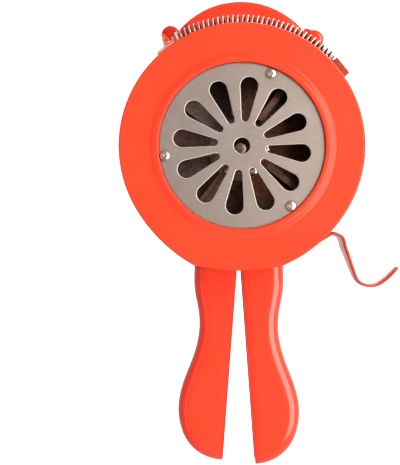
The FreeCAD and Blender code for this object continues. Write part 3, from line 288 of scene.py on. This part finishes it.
def ramp(nodes, links, value, low, high, start=0.3, end=0.7):
    """Two colours or grey levels blended by a value."""
    mixer = nodes.new("ShaderNodeValToRGB")
    mixer.color_ramp.elements[0].position = start
    mixer.color_ramp.elements[1].position = end
    mixer.color_ramp.elements[0].color = low
    mixer.color_ramp.elements[1].color = high
    links.new(value, mixer.inputs["Fac"])
    return mixer.outputs["Color"]


def span(nodes, links, value, low, high, start=0.0, end=1.0):
    """A value moved from the range start to end into the range low to high."""
    mapper = nodes.new("ShaderNodeMapRange")
    for socket, number in (("From Min", start), ("From Max", end), ("To Min", low), ("To Max", high)):
        mapper.inputs[socket].default_value = number
    links.new(value, mapper.inputs["Value"])
    return mapper.outputs["Result"]


def mix(nodes, links, share, first, second):
    """Two colours mixed by a share."""
    mixer = nodes.new("ShaderNodeMix")
    mixer.data_type = "RGBA"
    links.new(share, mixer.inputs["Factor"])
    links.new(first, mixer.inputs["A"])
    links.new(second, mixer.inputs["B"])
    return mixer.outputs["Result"]


def relief(nodes, links, shader, value, depth, edge):
    """Soft edges and a fine relief."""
    bevel = nodes.new("ShaderNodeBevel")
    bevel.samples = 4
    bevel.inputs["Radius"].default_value = edge
    bump = nodes.new("ShaderNodeBump")
    bump.inputs["Strength"].default_value = 1.0
    bump.inputs["Distance"].default_value = depth
    links.new(value, bump.inputs["Height"])
    links.new(bevel.outputs["Normal"], bump.inputs["Normal"])
    links.new(bump.outputs["Normal"], shader.inputs["Normal"])


def open_air(nodes, links, reach):
    """0 in corners and narrow gaps, 1 where nothing is near."""
    hollow = nodes.new("ShaderNodeAmbientOcclusion")
    hollow.samples = 8
    hollow.inputs["Distance"].default_value = reach
    return span(nodes, links, hollow.outputs["AO"], 0.0, 1.0, *CORNER_OPENS)


def with_corner_shade(nodes, links, colour, reach):
    """A colour with painted shade in corners and gaps of this width; none at all if the width is 0."""
    if not reach:
        return colour
    # painted shade: a dark colour laid where the place is enclosed
    shade_colour = ramp(nodes, links, noise(nodes, links, 120, 4), *CORNER_SHADE)
    return mix(nodes, links, open_air(nodes, links, reach), shade_colour, colour)


def highlight_along_edges(nodes, links, most):
    """How much painted highlight the paint gets: this much along the edges, none on flat ground."""
    bevel = nodes.new("ShaderNodeBevel")
    bevel.samples = 6
    bevel.inputs["Radius"].default_value = EDGE_REACH
    geometry = nodes.new("ShaderNodeNewGeometry")
    agree = nodes.new("ShaderNodeVectorMath")
    agree.operation = "DOT_PRODUCT"
    links.new(bevel.outputs["Normal"], agree.inputs[0])
    links.new(geometry.outputs["Normal"], agree.inputs[1])
    return span(nodes, links, agree.outputs["Value"], 0.0, most, *EDGE_PARTS)


def near_spot(nodes, links, spot, reach):
    """1 near a spot of the object, falling to 0 at this reach in metres."""
    where = nodes.new("ShaderNodeTexCoord")
    gap = nodes.new("ShaderNodeVectorMath")
    gap.operation = "DISTANCE"
    gap.inputs[1].default_value = spot
    links.new(where.outputs["Object"], gap.inputs[0])
    return span(nodes, links, gap.outputs["Value"], 1.0, 0.0, reach * SPOT_FIRM, reach)


def paint(name, deep, bright, edge=0.0005, spot=None, coat=0.8, shade_reach=0.0, edge_highlight=0.0, gloss=0.25):
    """Gloss enamel: slight colour drift, orange peel, dust nibs, uneven gloss and painted shade in the
    corners.

    edge is how far a corner is rounded. spot is a place painted in other colours: where, how far it
    reaches, and its two colours. shade_reach is how wide a gap gets painted shade, edge_highlight how
    strong the painted highlight on edges is.
    """
    material, nodes, links, shader = new_material(name)
    drift = ramp(nodes, links, noise(nodes, links, 22, 3), deep, bright, 0.25, 0.75)
    specks = ramp(nodes, links, noise(nodes, links, 1500, 1), deep, bright, 0.2, 0.42)
    blotch = span(nodes, links, noise(nodes, links, 60, 4), 0.0, 0.35)
    colour = mix(nodes, links, blotch, drift, specks)
    if spot:
        middle, reach, spot_deep, spot_bright = spot
        other = ramp(nodes, links, noise(nodes, links, 300, 3), spot_deep, spot_bright)
        colour = mix(nodes, links, near_spot(nodes, links, middle, reach), colour, other)
    # painted highlight along the edges
    if edge_highlight:
        pale_edge = ramp(nodes, links, noise(nodes, links, 250, 4), *EDGE_HIGHLIGHT_RED)
        colour = mix(nodes, links, highlight_along_edges(nodes, links, edge_highlight), colour, pale_edge)
    links.new(with_corner_shade(nodes, links, colour, shade_reach), shader.inputs["Base Color"])
    links.new(span(nodes, links, noise(nodes, links, 45, 3), 0.22, 0.29), shader.inputs["Roughness"])
    shader.inputs["Specular IOR Level"].default_value = gloss
    shader.inputs["Coat Weight"].default_value = coat
    shader.inputs["Coat Roughness"].default_value = 0.10
    relief(nodes, links, shader, noise(nodes, links, 900, 2), 0.00003, edge)
    return material


def metal(name, dark, light, rough, stretch=(1, 1, 1), scale=400, depth=0.00001, edge=0.0003, metallic=1.0,
          shade_reach=0.0):
    """Bare metal with brushing or grain and uneven polish."""
    material, nodes, links, shader = new_material(name)
    grain = noise(nodes, links, scale, 5, stretch, 0.6)
    stain = noise(nodes, links, 40, 3)
    tone = ramp(nodes, links, grain, dark, light, 0.3, 0.7)
    worn = ramp(nodes, links, stain, dark, light, 0.35, 0.65)
    colour = mix(nodes, links, span(nodes, links, stain, 0.1, 0.5), tone, worn)
    # painted shade in gaps of the given width
    links.new(with_corner_shade(nodes, links, colour, shade_reach), shader.inputs["Base Color"])
    shader.inputs["Metallic"].default_value = metallic
    links.new(span(nodes, links, grain, rough - 0.07, rough + 0.09), shader.inputs["Roughness"])
    relief(nodes, links, shader, grain, depth, edge)
    return material


def casting(name, shade_spot=None):
    """Rough cast metal in dark brown and grey patches, with painted light to the left, painted shade to the
    right, and painted shade in black round a spot.
    """
    material, nodes, links, shader = new_material(name)
    grain = noise(nodes, links, 500, 5, (1, 1, 1), 0.6)
    patches = nodes.new("ShaderNodeMath")
    patches.use_clamp = True
    links.new(span(nodes, links, noise(nodes, links, 34, 2), *CAST_SPREAD), patches.inputs[0])
    where = nodes.new("ShaderNodeTexCoord")
    parts = nodes.new("ShaderNodeSeparateXYZ")
    links.new(where.outputs["Object"], parts.inputs["Vector"])
    # painted light and shade: the grey's share rises to the left and falls to the right
    links.new(span(nodes, links, parts.outputs["X"], *CAST_SHIFT, *CAST_ACROSS), patches.inputs[1])
    dark_tone = ramp(nodes, links, grain, *CAST_DARK)
    grey_tone = ramp(nodes, links, grain, *CAST_GREY)
    colour = mix(nodes, links, patches.outputs["Value"], dark_tone, grey_tone)
    # painted shade in black round this spot
    if shade_spot:
        hub_shade = ramp(nodes, links, grain, *HUB_SHADE)
        colour = mix(nodes, links, near_spot(nodes, links, shade_spot, HUB_SHADE_REACH), colour, hub_shade)
    links.new(colour, shader.inputs["Base Color"])
    shader.inputs["Metallic"].default_value = 1.0
    links.new(span(nodes, links, grain, 0.42, 0.58), shader.inputs["Roughness"])
    relief(nodes, links, shader, grain, 0.00004, 0.0003)
    return material


def plastic(name):
    """Black moulded plastic with a fine grain and handling marks."""
    material, nodes, links, shader = new_material(name)
    marks = noise(nodes, links, 90, 5)
    links.new(ramp(nodes, links, marks, *BLACK), shader.inputs["Base Color"])
    links.new(span(nodes, links, marks, 0.28, 0.5), shader.inputs["Roughness"])
    relief(nodes, links, shader, noise(nodes, links, 1800, 2), 0.00002, 0.0006)
    return material


def cap_seat():
    """The middle of the rotor's cap nut at its front, in metres."""
    return place(0, (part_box("rotor_nut")[0].y - LIP_Y) / MM, 0)


def make_materials():
    """One material for each finish."""
    # painted shade on the case's left ear
    ear = (place(*EAR_SPOT), EAR_REACH, *SHADED_RED)
    lug = (spring_point(LUG_OUT, 0, LUG_AT), LUG_REACH, *BROWNER_RED)
    return {
        # each enamel gets its own width of painted shade in gaps and its own strength of painted highlight
        # along edges
        "paint": paint("red_enamel", *RED, shade_reach=0.010),
        "paint_front": paint("red_enamel_front", *PALE_RED, coat=0.16, shade_reach=0.0016, gloss=0.16),
        "paint_back": paint("red_enamel_case", *DEEP_RED, spot=ear, shade_reach=0.022, edge_highlight=0.35),
        "paint_round": paint("red_enamel_grip", *RED, edge=0.0075, coat=1.0, shade_reach=0.005, gloss=0.10),
        "paint_strip": paint("red_enamel_strip", *PALE_RED, coat=0.5, shade_reach=0.010, gloss=0.15),
        "paint_edge": paint("red_enamel_edge", *BROWNER_RED, coat=0.3, gloss=0.12),
        "paint_ring": paint("red_enamel_ring", *RED, spot=lug, shade_reach=0.010),
        "paint_anchor": paint("red_enamel_anchor", *RED, edge_highlight=0.8),
        "strap": metal("plated_strap", *PLATED, 0.4, scale=300, edge=0.0002, metallic=0.3),
        "grille": metal("brushed_grille", *STAMPED_STEEL, 0.45, stretch=(1, 1, 14), scale=260,
                        depth=0.000012, edge=0.0001, metallic=0.72, shade_reach=0.0016),
        "grille_edge": metal("cut_edge", *CUT_STEEL, 0.5, scale=700, edge=0.0001, metallic=0.0),
        "zinc": metal("yellow_zinc", *YELLOW_ZINC, 0.26, scale=300, edge=0.0002),
        "spring": metal("spring_wire", *WIRE_BRIGHT, 0.36, scale=500, depth=0.000008, edge=0.0001,
                        metallic=0.3),
        "spring_shaded": paint("spring_wire_shaded", *WIRE_SHADE, edge=0.0001, coat=0.0, gloss=0.05),
        "cast": casting("cast_aluminium"),
        "steel": metal("oiled_steel", *OILED_STEEL, 0.32, scale=350, edge=0.0002),
        "cap": metal("tarnished_cap", *TARNISHED, 0.42, scale=420, depth=0.00002, metallic=0.6),
        "hub": casting("cast_hub", cap_seat()),
        "brass": metal("turned_brass", *BRASS, 0.28, stretch=(1, 30, 1), scale=200, edge=0.0002),
        "plastic": plastic("black_knob_plastic"),
    }


# The nodes that have each material
FINISH = {
    "paint_round": ["left_grip", "right_grip"],
    "paint_ring": ["shutter_ring"],
    "paint_front": ["front_housing"],
    "paint_back": ["back_plate", "gear_case", "gear_case_cover"],
    "paint_anchor": ["spring_anchor"],
    "strap": ["anchor_strap"],
    "paint": ["crank_arm"],
    "paint_strip": ["trigger_hook"],
    "grille": ["intake_grille"],
    "zinc": ["grille_screws", "plate_screws", "case_mount_screws", "grip_screws", "case_screws",
             "anchor_screw", "trigger_rivets", "crank_nut", "hub_screws"],
    "spring": ["return_spring"],
    "cast": ["rotor_wheel"],
    "hub": ["rotor_hub"],
    "steel": ["rotor_pinion", "idler_gear", "crank_gear", "rotor_shaft", "crank_shaft",
              "idler_axle", "knob_spindle", "front_rotor_bearing", "rear_rotor_bearing"],
    "cap": ["rotor_nut"],
    "brass": ["crank_bush"],
    "plastic": ["crank_knob"],
}


def finish_nodes(materials):
    """Give every carried-over node its material."""
    for key, names in FINISH.items():
        for name in names:
            node = NODES[name]
            node.data.materials.clear()
            node.data.materials.append(materials[key])


# ---------------------------------------------------------------- building

def add_mesh(name, vertices, faces, material, body):
    """A smooth mesh piece, which rides on a body if one is named."""
    mesh = bpy.data.meshes.new(name)
    mesh.from_pydata([tuple(vertex) for vertex in vertices], [], faces)
    mesh.validate()
    mesh.materials.append(material)
    for face in mesh.polygons:
        face.use_smooth = True
    piece = new_object(name, mesh)
    if body:
        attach(piece, body)
    return piece


def tube_faces(count, sides):
    """Faces of a closed tube from this many sections, each of this many points."""
    faces = []
    for i in range(count - 1):
        for k in range(sides):
            n = (k + 1) % sides
            faces.append((i * sides + k, i * sides + n, (i + 1) * sides + n, (i + 1) * sides + k))
    faces.append(tuple(reversed(range(sides))))
    faces.append(tuple(range((count - 1) * sides, count * sides)))
    return faces


def wire_mesh(points, radius, sides):
    """Vertices and faces of a round wire along points, with turned sections and closed ends."""
    vertices = []
    count = len(points)
    across = None
    for i, point in enumerate(points):
        ahead = (points[min(i + 1, count - 1)] - points[max(i - 1, 0)]).normalized()
        if across is None:
            across = ahead.orthogonal().normalized()
        across = (across - ahead * across.dot(ahead)).normalized()
        other = ahead.cross(across)
        for k in range(sides):
            angle = 2 * math.pi * k / sides
            vertices.append(point + (across * math.cos(angle) + other * math.sin(angle)) * radius)
    return vertices, tube_faces(count, sides)


def coil_points():
    """Middle line of the spring's wire: the lug's hook, the coils along the arc, and the anchor's hook."""
    total = SPRING_TURNS * SPRING_STEPS
    coil_r = SPRING_R - SPRING_WIRE_R
    points = []
    for i in range(total + 1):
        degrees = SPRING_FROM + (SPRING_TO - SPRING_FROM) * i / total
        phase = 2 * math.pi * i / SPRING_STEPS
        near_end = min(i, total - i) / SPRING_STEPS
        reach = coil_r * min(1.0, COIL_END_REACH + COIL_GROWTH * near_end)
        points.append(spring_point(reach * math.cos(phase), -reach * math.sin(phase), degrees))
    lead_in, lead_out = [[spring_point(0, 0, first + LEAD_STEP * i) for i in range(count)]
                         for first, count in (LEAD_IN, LEAD_OUT)]
    return lead_in + points + lead_out


def return_coil(materials):
    """The spring, which stretches between its anchor and the ring's lug."""
    vertices, faces = wire_mesh(coil_points(), SPRING_WIRE_R * MM, SPRING_SIDES)
    coil = add_mesh("return_coil", vertices, faces, materials["spring"], None)
    coil.data.materials.append(materials["spring_shaded"])
    # Faces looking towards the coil's middle get painted shade, except forward-looking ones and the wire at
    # the anchor
    for face in coil.data.polygons:
        away = face.center - AXIS
        degrees = math.degrees(math.atan2(away.z, away.x))
        outward = (face.center - spring_point(0, 0, degrees)).normalized()
        in_front = outward.y < SPRING_FORWARD and face.normal.y < -SPRING_BRIGHT
        at_anchor = degrees > SPRING_TO - SPRING_END_BRIGHT
        if face.normal.dot(outward) < SPRING_BRIGHT and not in_front and not at_anchor:
            face.material_index = 1
    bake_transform(coil)
    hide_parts("return_spring")


def smooth_line(points, steps):
    """A smooth curve through the points."""
    line = []
    for i in range(len(points) - 1):
        before, start = points[max(i - 1, 0)], points[i]
        end, after = points[i + 1], points[min(i + 2, len(points) - 1)]
        square = 2 * before - 5 * start + 4 * end - after
        cube = 3 * start - before - 3 * end + after
        for k in range(steps):
            t = k / steps
            line.append(0.5 * (2 * start + (end - before) * t + square * t * t + cube * t ** 3))
    return line + [points[-1]]


def hook_width(x):
    """Width of the trigger strip at this x."""
    for (low_x, low_w), (high_x, high_w) in zip(HOOK_WIDTHS, HOOK_WIDTHS[1:]):
        if x < high_x:
            share = max(0.0, (x - low_x) / (high_x - low_x))
            return low_w + (high_w - low_w) * share
    return HOOK_WIDTHS[-1][1]


def hook_section(point, ahead, width):
    """Points round the trigger strip at one point of its line, with both edges rounded."""
    half = HOOK_THICK / 2
    side = Vector((-ahead.y, ahead.x))
    reach = max(width / 2 - half, 0.0)
    section = []
    for k in range(HOOK_SIDES):
        in_front = k < HOOK_SIDES / 2
        angle = math.pi * (k if in_front else k - 1) / (HOOK_SIDES / 2 - 1)
        away = -reach if in_front else reach
        spot = point + side * half * math.cos(angle)
        section.append(place(spot.x, HOOK_DEPTH + away - half * math.sin(angle), spot.y))
    return section


def hook_strip(materials):
    """The trigger: a painted strip with rounded edges, from its foot on the ring to the turned-up tip."""
    foot_r = HOOK_SEAT_R + HOOK_THICK / 2
    foot_from, foot_to = HOOK_FOOT
    corners = [Vector(polar(foot_r, foot_from + (foot_to - foot_from) * i / HOOK_FOOT_STEPS))
               for i in range(HOOK_FOOT_STEPS + 1)] + [Vector(point) for point in HOOK_LINE]
    line = smooth_line(corners, HOOK_STEPS)
    left = [0.0]
    for start, end in zip(line[:0:-1], line[-2::-1]):
        left.append(left[-1] + (start - end).length)
    left.reverse()
    vertices = []
    for i, point in enumerate(line):
        ahead = (line[min(i + 1, len(line) - 1)] - line[max(i - 1, 0)]).normalized()
        width = hook_width(point.x)
        if left[i] < HOOK_NOSE:
            width *= math.sqrt(max(HOOK_NOSE_END ** 2, 1 - (1 - left[i] / HOOK_NOSE) ** 2))
        vertices += hook_section(point, ahead, width)
    strip = add_mesh("trigger_strip", vertices, tube_faces(len(line), HOOK_SIDES), materials["paint_strip"],
                     "shutter")
    strip.data.set_sharp_from_angle(angle=math.radians(HOOK_SHARP))
    strip.data.materials.append(materials["paint_edge"])
    for face in strip.data.polygons:
        if face.normal.y < -HOOK_EDGE_FACING:
            face.material_index = 1
    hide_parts("trigger_hook")


def islands(node):
    """Lowest and highest corners of each separate solid of a node, in metres."""
    mesh = NODES[node].data
    work = bmesh.new()
    work.from_mesh(mesh)
    bmesh.ops.remove_doubles(work, verts=work.verts, dist=WELD)
    left = set(work.verts)
    boxes = []
    while left:
        stack = [min(left, key=lambda v: v.index)]
        found = set(stack)
        while stack:
            for edge in stack.pop().link_edges:
                for vertex in edge.verts:
                    if vertex not in found:
                        found.add(vertex)
                        stack.append(vertex)
        left -= found
        low = Vector([min(v.co[k] for v in found) for k in range(3)])
        high = Vector([max(v.co[k] for v in found) for k in range(3)])
        boxes.append((low, high))
    work.free()
    return sorted(boxes, key=lambda pair: (round(pair[0].x, 5), round(pair[0].z, 5)))


def from_bmesh(name, work):
    """A temporary object from a bmesh."""
    mesh = bpy.data.meshes.new(name)
    work.to_mesh(mesh)
    work.free()
    return new_object(name, mesh)


def final_mesh(made):
    """The mesh of a curve, or of an object after its modifiers. The object itself is removed."""
    bpy.context.view_layer.update()
    mesh = bpy.data.meshes.new_from_object(made.evaluated_get(bpy.context.evaluated_depsgraph_get()))
    bpy.data.objects.remove(made)
    return mesh


def cross_cutter():
    """Tapered plug with a cross section of four wings, as a cross driver's tip."""
    work = bmesh.new()
    rows = []
    long_share, wide_share = CROSS_TAPER
    top = (-HEAD_HEIGHT - CROSS_DEPTH / 2, CROSS_HALF, CROSS_WIDTH / 2)
    bottom = (-HEAD_HEIGHT + CROSS_DEPTH, CROSS_HALF * long_share, CROSS_WIDTH / 2 * wide_share)
    for y, reach, half in (top, bottom):
        corner = [(reach, -half), (reach, half), (half, half)]
        ring = []
        for turn in range(4):
            for x, z in corner:
                for _ in range(turn):
                    x, z = -z, x
                ring.append((x, z))
        rows.append([work.verts.new((x * MM, y * MM, z * MM)) for x, z in ring])
    high, low = rows
    for i in range(len(high)):
        n = (i + 1) % len(high)
        work.faces.new((high[i], high[n], low[n], low[i]))
    work.faces.new(high)
    work.faces.new(list(reversed(low)))
    bmesh.ops.recalc_face_normals(work, faces=work.faces)
    return work


def screw_head():
    """Mesh of a pan head with a cross recess, its seat at the origin and its top towards -Y."""
    steps, around = HEAD_STEPS, HEAD_POINTS
    work = bmesh.new()
    rings = []
    radius_power, height_power = HEAD_DOME
    for i in range(steps + 1):
        angle = math.pi / 2 * i / steps
        radius = HEAD_R * math.sin(angle) ** radius_power
        height = HEAD_HEIGHT * (HEAD_RIM + (1 - HEAD_RIM) * math.cos(angle) ** height_power)
        rings.append((radius, -height))
    rings.append((HEAD_R, 0.0))
    rows = []
    for radius, y in rings[1:]:
        rows.append([work.verts.new((radius * MM * math.cos(2 * math.pi * k / around), y * MM,
                                     radius * MM * math.sin(2 * math.pi * k / around)))
                     for k in range(around)])
    tip = work.verts.new((0, rings[0][1] * MM, 0))
    seat = work.verts.new((0, 0, 0))
    for k in range(around):
        n = (k + 1) % around
        work.faces.new((tip, rows[0][k], rows[0][n]))
        for upper, lower in zip(rows, rows[1:]):
            work.faces.new((upper[k], lower[k], lower[n], upper[n]))
        work.faces.new((seat, rows[-1][n], rows[-1][k]))
    bmesh.ops.recalc_face_normals(work, faces=work.faces)
    head = from_bmesh("head_blank", work)
    cutter = from_bmesh("head_cutter", cross_cutter())
    carve = head.modifiers.new("cross", "BOOLEAN")
    carve.operation = "DIFFERENCE"
    carve.solver = "EXACT"
    carve.object = cutter
    mesh = final_mesh(head)
    bpy.data.objects.remove(cutter)
    return mesh


def shank_shape(length):
    """Vertices and faces of a screw's shank from its seat at the origin, along +Y, narrower at its end."""
    around = SHANK_POINTS
    full = SHANK_R * MM
    rows = ((full, 0.0), (full, length * SHANK_TAPER_AT), (full * SHANK_TIP, length))
    vertices = [Vector((radius * math.cos(2 * math.pi * k / around), y,
                        radius * math.sin(2 * math.pi * k / around)))
                for radius, y in rows for k in range(around)]
    return vertices, [tuple(reversed(face)) for face in tube_faces(len(rows), around)]


def screw_set(name, head, spots, material, body, replaced, scale=1.0):
    """Screws of one node in one piece: each spot is a seat, the way the head faces, a turn and a length."""
    vertices, faces = [], []
    head_shape = ([vertex.co * scale for vertex in head.vertices],
                  [tuple(face.vertices) for face in head.polygons])
    for seat, facing, turn, length in spots:
        swing = Vector((0, -1, 0)).rotation_difference(facing).to_matrix().to_4x4()
        pose = Matrix.Translation(seat) @ swing @ Matrix.Rotation(math.radians(turn), 4, "Y")
        for points, sides in (head_shape, shank_shape(length)):
            first = len(vertices)
            vertices += [pose @ point for point in points]
            faces += [tuple(first + k for k in side) for side in sides]
    piece = add_mesh(name, vertices, faces, material, body)
    piece.data.set_sharp_from_angle(angle=math.radians(SCREW_SHARP))
    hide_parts(replaced)


# Screw nodes: their body, the way along Y that their heads face, and the first cross's turn in degrees.
# Each next screw's cross is turned further
SCREW_NODES = {
    "grille_screws": ("housing", -1, 25),
    "plate_screws": ("housing", 1, 40),
    "case_mount_screws": ("housing", 1, 10),
    "grip_screws": ("housing", 1, 70),
    "case_screws": ("housing", 1, 20),
    "hub_screws": ("rotor", -1, 15),
}
NEXT_TURN = 37
ANCHOR_TURN = 30


def cross_screws(materials):
    """Pan head screws with cross recesses for every screw node."""
    head = screw_head()
    for node, (body, way, turn) in SCREW_NODES.items():
        spots = []
        for i, (low, high) in enumerate(islands(node)):
            middle = (low + high) / 2
            length = high.y - low.y - HEAD_HEIGHT * MM
            seat = Vector((middle.x, (low if way < 0 else high).y - way * HEAD_HEIGHT * MM, middle.z))
            spots.append((seat, Vector((0, way, 0)), turn + NEXT_TURN * i, length))
        screw_set("cross_" + node, head, spots, materials["zinc"], body, node)
    anchor_screw(head, materials["zinc"])


def outermost(node, direction):
    """How far a node reaches from the rotor axis in this direction."""
    return max((vertex.co - AXIS).dot(direction) for vertex in NODES[node].data.vertices)


def anchor_screw(head, material):
    """The spring anchor's screw, which points at the rotor axis."""
    low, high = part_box("anchor_screw")
    x, z = polar(1.0, ANCHOR_SCREW_AT)
    out = Vector((x, 0, z))
    far = outermost("anchor_screw", out)
    near = -outermost("anchor_screw", -out)
    tall = HEAD_HEIGHT * MM
    seat = Vector((AXIS.x, (low.y + high.y) / 2, AXIS.z)) + out * (far - tall)
    screw_set("cross_anchor_screw", head, [(seat, out, ANCHOR_TURN, far - near - tall)], material,
              "housing", "anchor_screw", ANCHOR_HEAD_SCALE)


def slot_outline(degrees):
    """Points of one teardrop slot of the grille."""
    near, near_r = SLOT_INNER
    far, far_r = SLOT_OUTER
    lean = math.degrees(math.asin((far_r - near_r) / (far - near)))
    points = []
    for centre, radius, start, end, steps in ((far, far_r, -90 - lean, 90 + lean, SLOT_OUTER_STEPS),
                                              (near, near_r, 90 + lean, 270 - lean, SLOT_INNER_STEPS)):
        for i in range(steps + 1):
            x, z = polar(radius, start + (end - start) * i / steps)
            points.append((centre + x, z))
    turn = math.radians(degrees)
    return [(x * math.cos(turn) - z * math.sin(turn), x * math.sin(turn) + z * math.cos(turn))
            for x, z in points]


def circle_outline(radius, steps):
    """Points of a circle round the middle."""
    return [(radius * math.cos(2 * math.pi * i / steps), radius * math.sin(2 * math.pi * i / steps))
            for i in range(steps)]


def cut_plate(name, outlines, front, thick, edge):
    """Mesh of a plate with holes and rounded edges, from closed outlines in x and z."""
    curve = bpy.data.curves.new(name + "_outline", "CURVE")
    curve.dimensions = "2D"
    curve.fill_mode = "BOTH"
    curve.extrude = thick / 2 * MM - edge * MM
    curve.bevel_depth = edge * MM
    curve.bevel_resolution = 2
    curve.offset = -edge * MM
    for outline in outlines:
        spline = curve.splines.new("POLY")
        spline.points.add(len(outline) - 1)
        spline.use_cyclic_u = True
        for point, (x, z) in zip(spline.points, outline):
            point.co = (x * MM, z * MM, 0, 1)
    mesh = final_mesh(new_object(name + "_outline", curve))
    mesh.transform(Matrix.Rotation(math.radians(90), 4, "X"))
    mesh.transform(Matrix.Translation(place(0, front + thick / 2, 0)))
    mesh.name = name
    return mesh


def grille_plate(materials):
    """The stamped grille with its slots, its hole and the rounded stamped edges."""
    low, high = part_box("intake_grille")
    radius = (high.x - low.x) / 2 / MM
    front = (low.y - LIP_Y) / MM
    outlines = [circle_outline(radius, GRILLE_POINTS), circle_outline(GRILLE_HOLE_R, HOLE_POINTS)]
    outlines += [slot_outline(SLOT_PHASE + i * 360 / SLOTS) for i in range(SLOTS)]
    mesh = cut_plate("grille_plate", outlines, front, GRILLE_THICK, GRILLE_EDGE)
    mesh.materials.clear()
    mesh.materials.append(materials["grille"])
    mesh.materials.append(materials["grille_edge"])
    for face in mesh.polygons:
        is_face = abs(face.normal.y) > GRILLE_FACING
        face.material_index = 0 if is_face else 1
        face.use_smooth = not is_face
    piece = new_object("grille_plate", mesh)
    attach(piece, "housing")
    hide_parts("intake_grille")


# ---------------------------------------------------------------- studio

def stage_floor():
    """A white floor that bends up into a backdrop; it shows behind the part and casts no light on it."""
    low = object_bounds()[0].z - FLOOR_GAP
    profile = [(-FLOOR_REACH, low), (FLOOR_REACH - FLOOR_BEND, low)]
    for i in range(1, FLOOR_STEPS + 1):
        angle = math.radians(90 * i / FLOOR_STEPS)
        profile.append((FLOOR_REACH - FLOOR_BEND + FLOOR_BEND * math.sin(angle),
                        low + FLOOR_BEND * (1 - math.cos(angle))))
    profile.append((FLOOR_REACH, low + 2 * FLOOR_REACH))
    vertices = [(x, y, z) for y, z in profile for x in (-FLOOR_REACH, FLOOR_REACH)]
    faces = [(2 * i, 2 * i + 1, 2 * i + 3, 2 * i + 2) for i in range(len(profile) - 1)]
    mesh = bpy.data.meshes.new("studio_floor")
    mesh.from_pydata(vertices, [], faces)
    for face in mesh.polygons:
        face.use_smooth = True
    material, nodes, links, shader = new_material("studio_white")
    links.new(ramp(nodes, links, noise(nodes, links, 3, 2), FLOOR_GREY, FLOOR_WHITE),
              shader.inputs["Base Color"])
    shader.inputs["Roughness"].default_value = 0.9
    shader.inputs["Emission Color"].default_value = (1, 1, 1, 1)
    shader.inputs["Emission Strength"].default_value = FLOOR_GLOW
    mesh.materials.append(material)
    floor = new_object("studio_floor", mesh)
    floor.visible_diffuse = False
    floor.visible_glossy = False


def area_light(name, bearing, lift, away, wide, high, power, tint, mirrored):
    """A soft box at this bearing and height angle, turned towards the lamps' target."""
    turn = math.radians(bearing)
    rise = math.radians(lift)
    aim = Vector((math.sin(turn) * math.cos(rise), -math.cos(turn) * math.cos(rise), math.sin(rise)))
    light = bpy.data.lights.new(name, "AREA")
    light.shape = "RECTANGLE"
    light.color = tint
    light.size = wide
    light.size_y = high
    light.energy = power
    lamp = new_object(name, light)
    lamp.location = LAMP_TARGET + away * aim
    lamp.rotation_euler = (-aim).to_track_quat("-Z", "Y").to_euler()
    lamp.visible_glossy = mirrored


def room_level(nodes, links, side, low, high):
    """The room's brightness, which rises evenly towards one side."""
    where = nodes.new("ShaderNodeTexCoord")
    lean = nodes.new("ShaderNodeVectorMath")
    lean.operation = "DOT_PRODUCT"
    lean.inputs[1].default_value = side
    links.new(where.outputs["Generated"], lean.inputs[0])
    return span(nodes, links, lean.outputs["Value"], low, high, -1.0)


def studio():
    """A white room and soft lamps.

    The room's light comes mostly from the front right. What the part mirrors is brighter behind it.
    """
    scene = bpy.context.scene
    scene.view_settings.view_transform = "Standard"
    world = bpy.data.worlds.new("studio_world")
    world.use_nodes = True
    scene.world = world
    nodes = world.node_tree.nodes
    links = world.node_tree.links
    lit = room_level(nodes, links, ROOM_BRIGHT_SIDE, *ROOM_LIT)
    seen = room_level(nodes, links, MIRRORED_BRIGHT_SIDE, *ROOM_MIRRORED)
    ray = nodes.new("ShaderNodeLightPath")
    chosen = nodes.new("ShaderNodeMix")
    links.new(ray.outputs["Is Glossy Ray"], chosen.inputs["Factor"])
    links.new(lit, chosen.inputs["A"])
    links.new(seen, chosen.inputs["B"])
    shown = nodes.new("ShaderNodeMath")
    shown.operation = "MAXIMUM"
    links.new(chosen.outputs["Result"], shown.inputs[0])
    links.new(ray.outputs["Is Camera Ray"], shown.inputs[1])
    links.new(shown.outputs["Value"], nodes["Background"].inputs["Strength"])
    nodes["Background"].inputs["Color"].default_value = (1, 1, 1, 1)
    for name, lamp in LAMPS.items():
        area_light(name, *lamp)


def camera():
    """The photograph's view: level, straight on, a little left of and under the rotor axis."""
    data = bpy.data.cameras.new("photo_camera")
    data.lens = CAMERA_LENS
    data.sensor_width = SENSOR
    data.sensor_fit = "AUTO"
    eye = new_object("photo_camera", data)
    eye.location = (AXIS.x - CAMERA_LEFT, LIP_Y - CAMERA_AWAY, AXIS.z - CAMERA_DOWN)
    eye.rotation_euler = (math.radians(90), 0, 0)
    bpy.context.scene.camera = eye


camera()
studio()
stage_floor()
MATERIALS = make_materials()
finish_nodes(MATERIALS)
grille_plate(MATERIALS)
return_coil(MATERIALS)
hook_strip(MATERIALS)
cross_screws(MATERIALS)
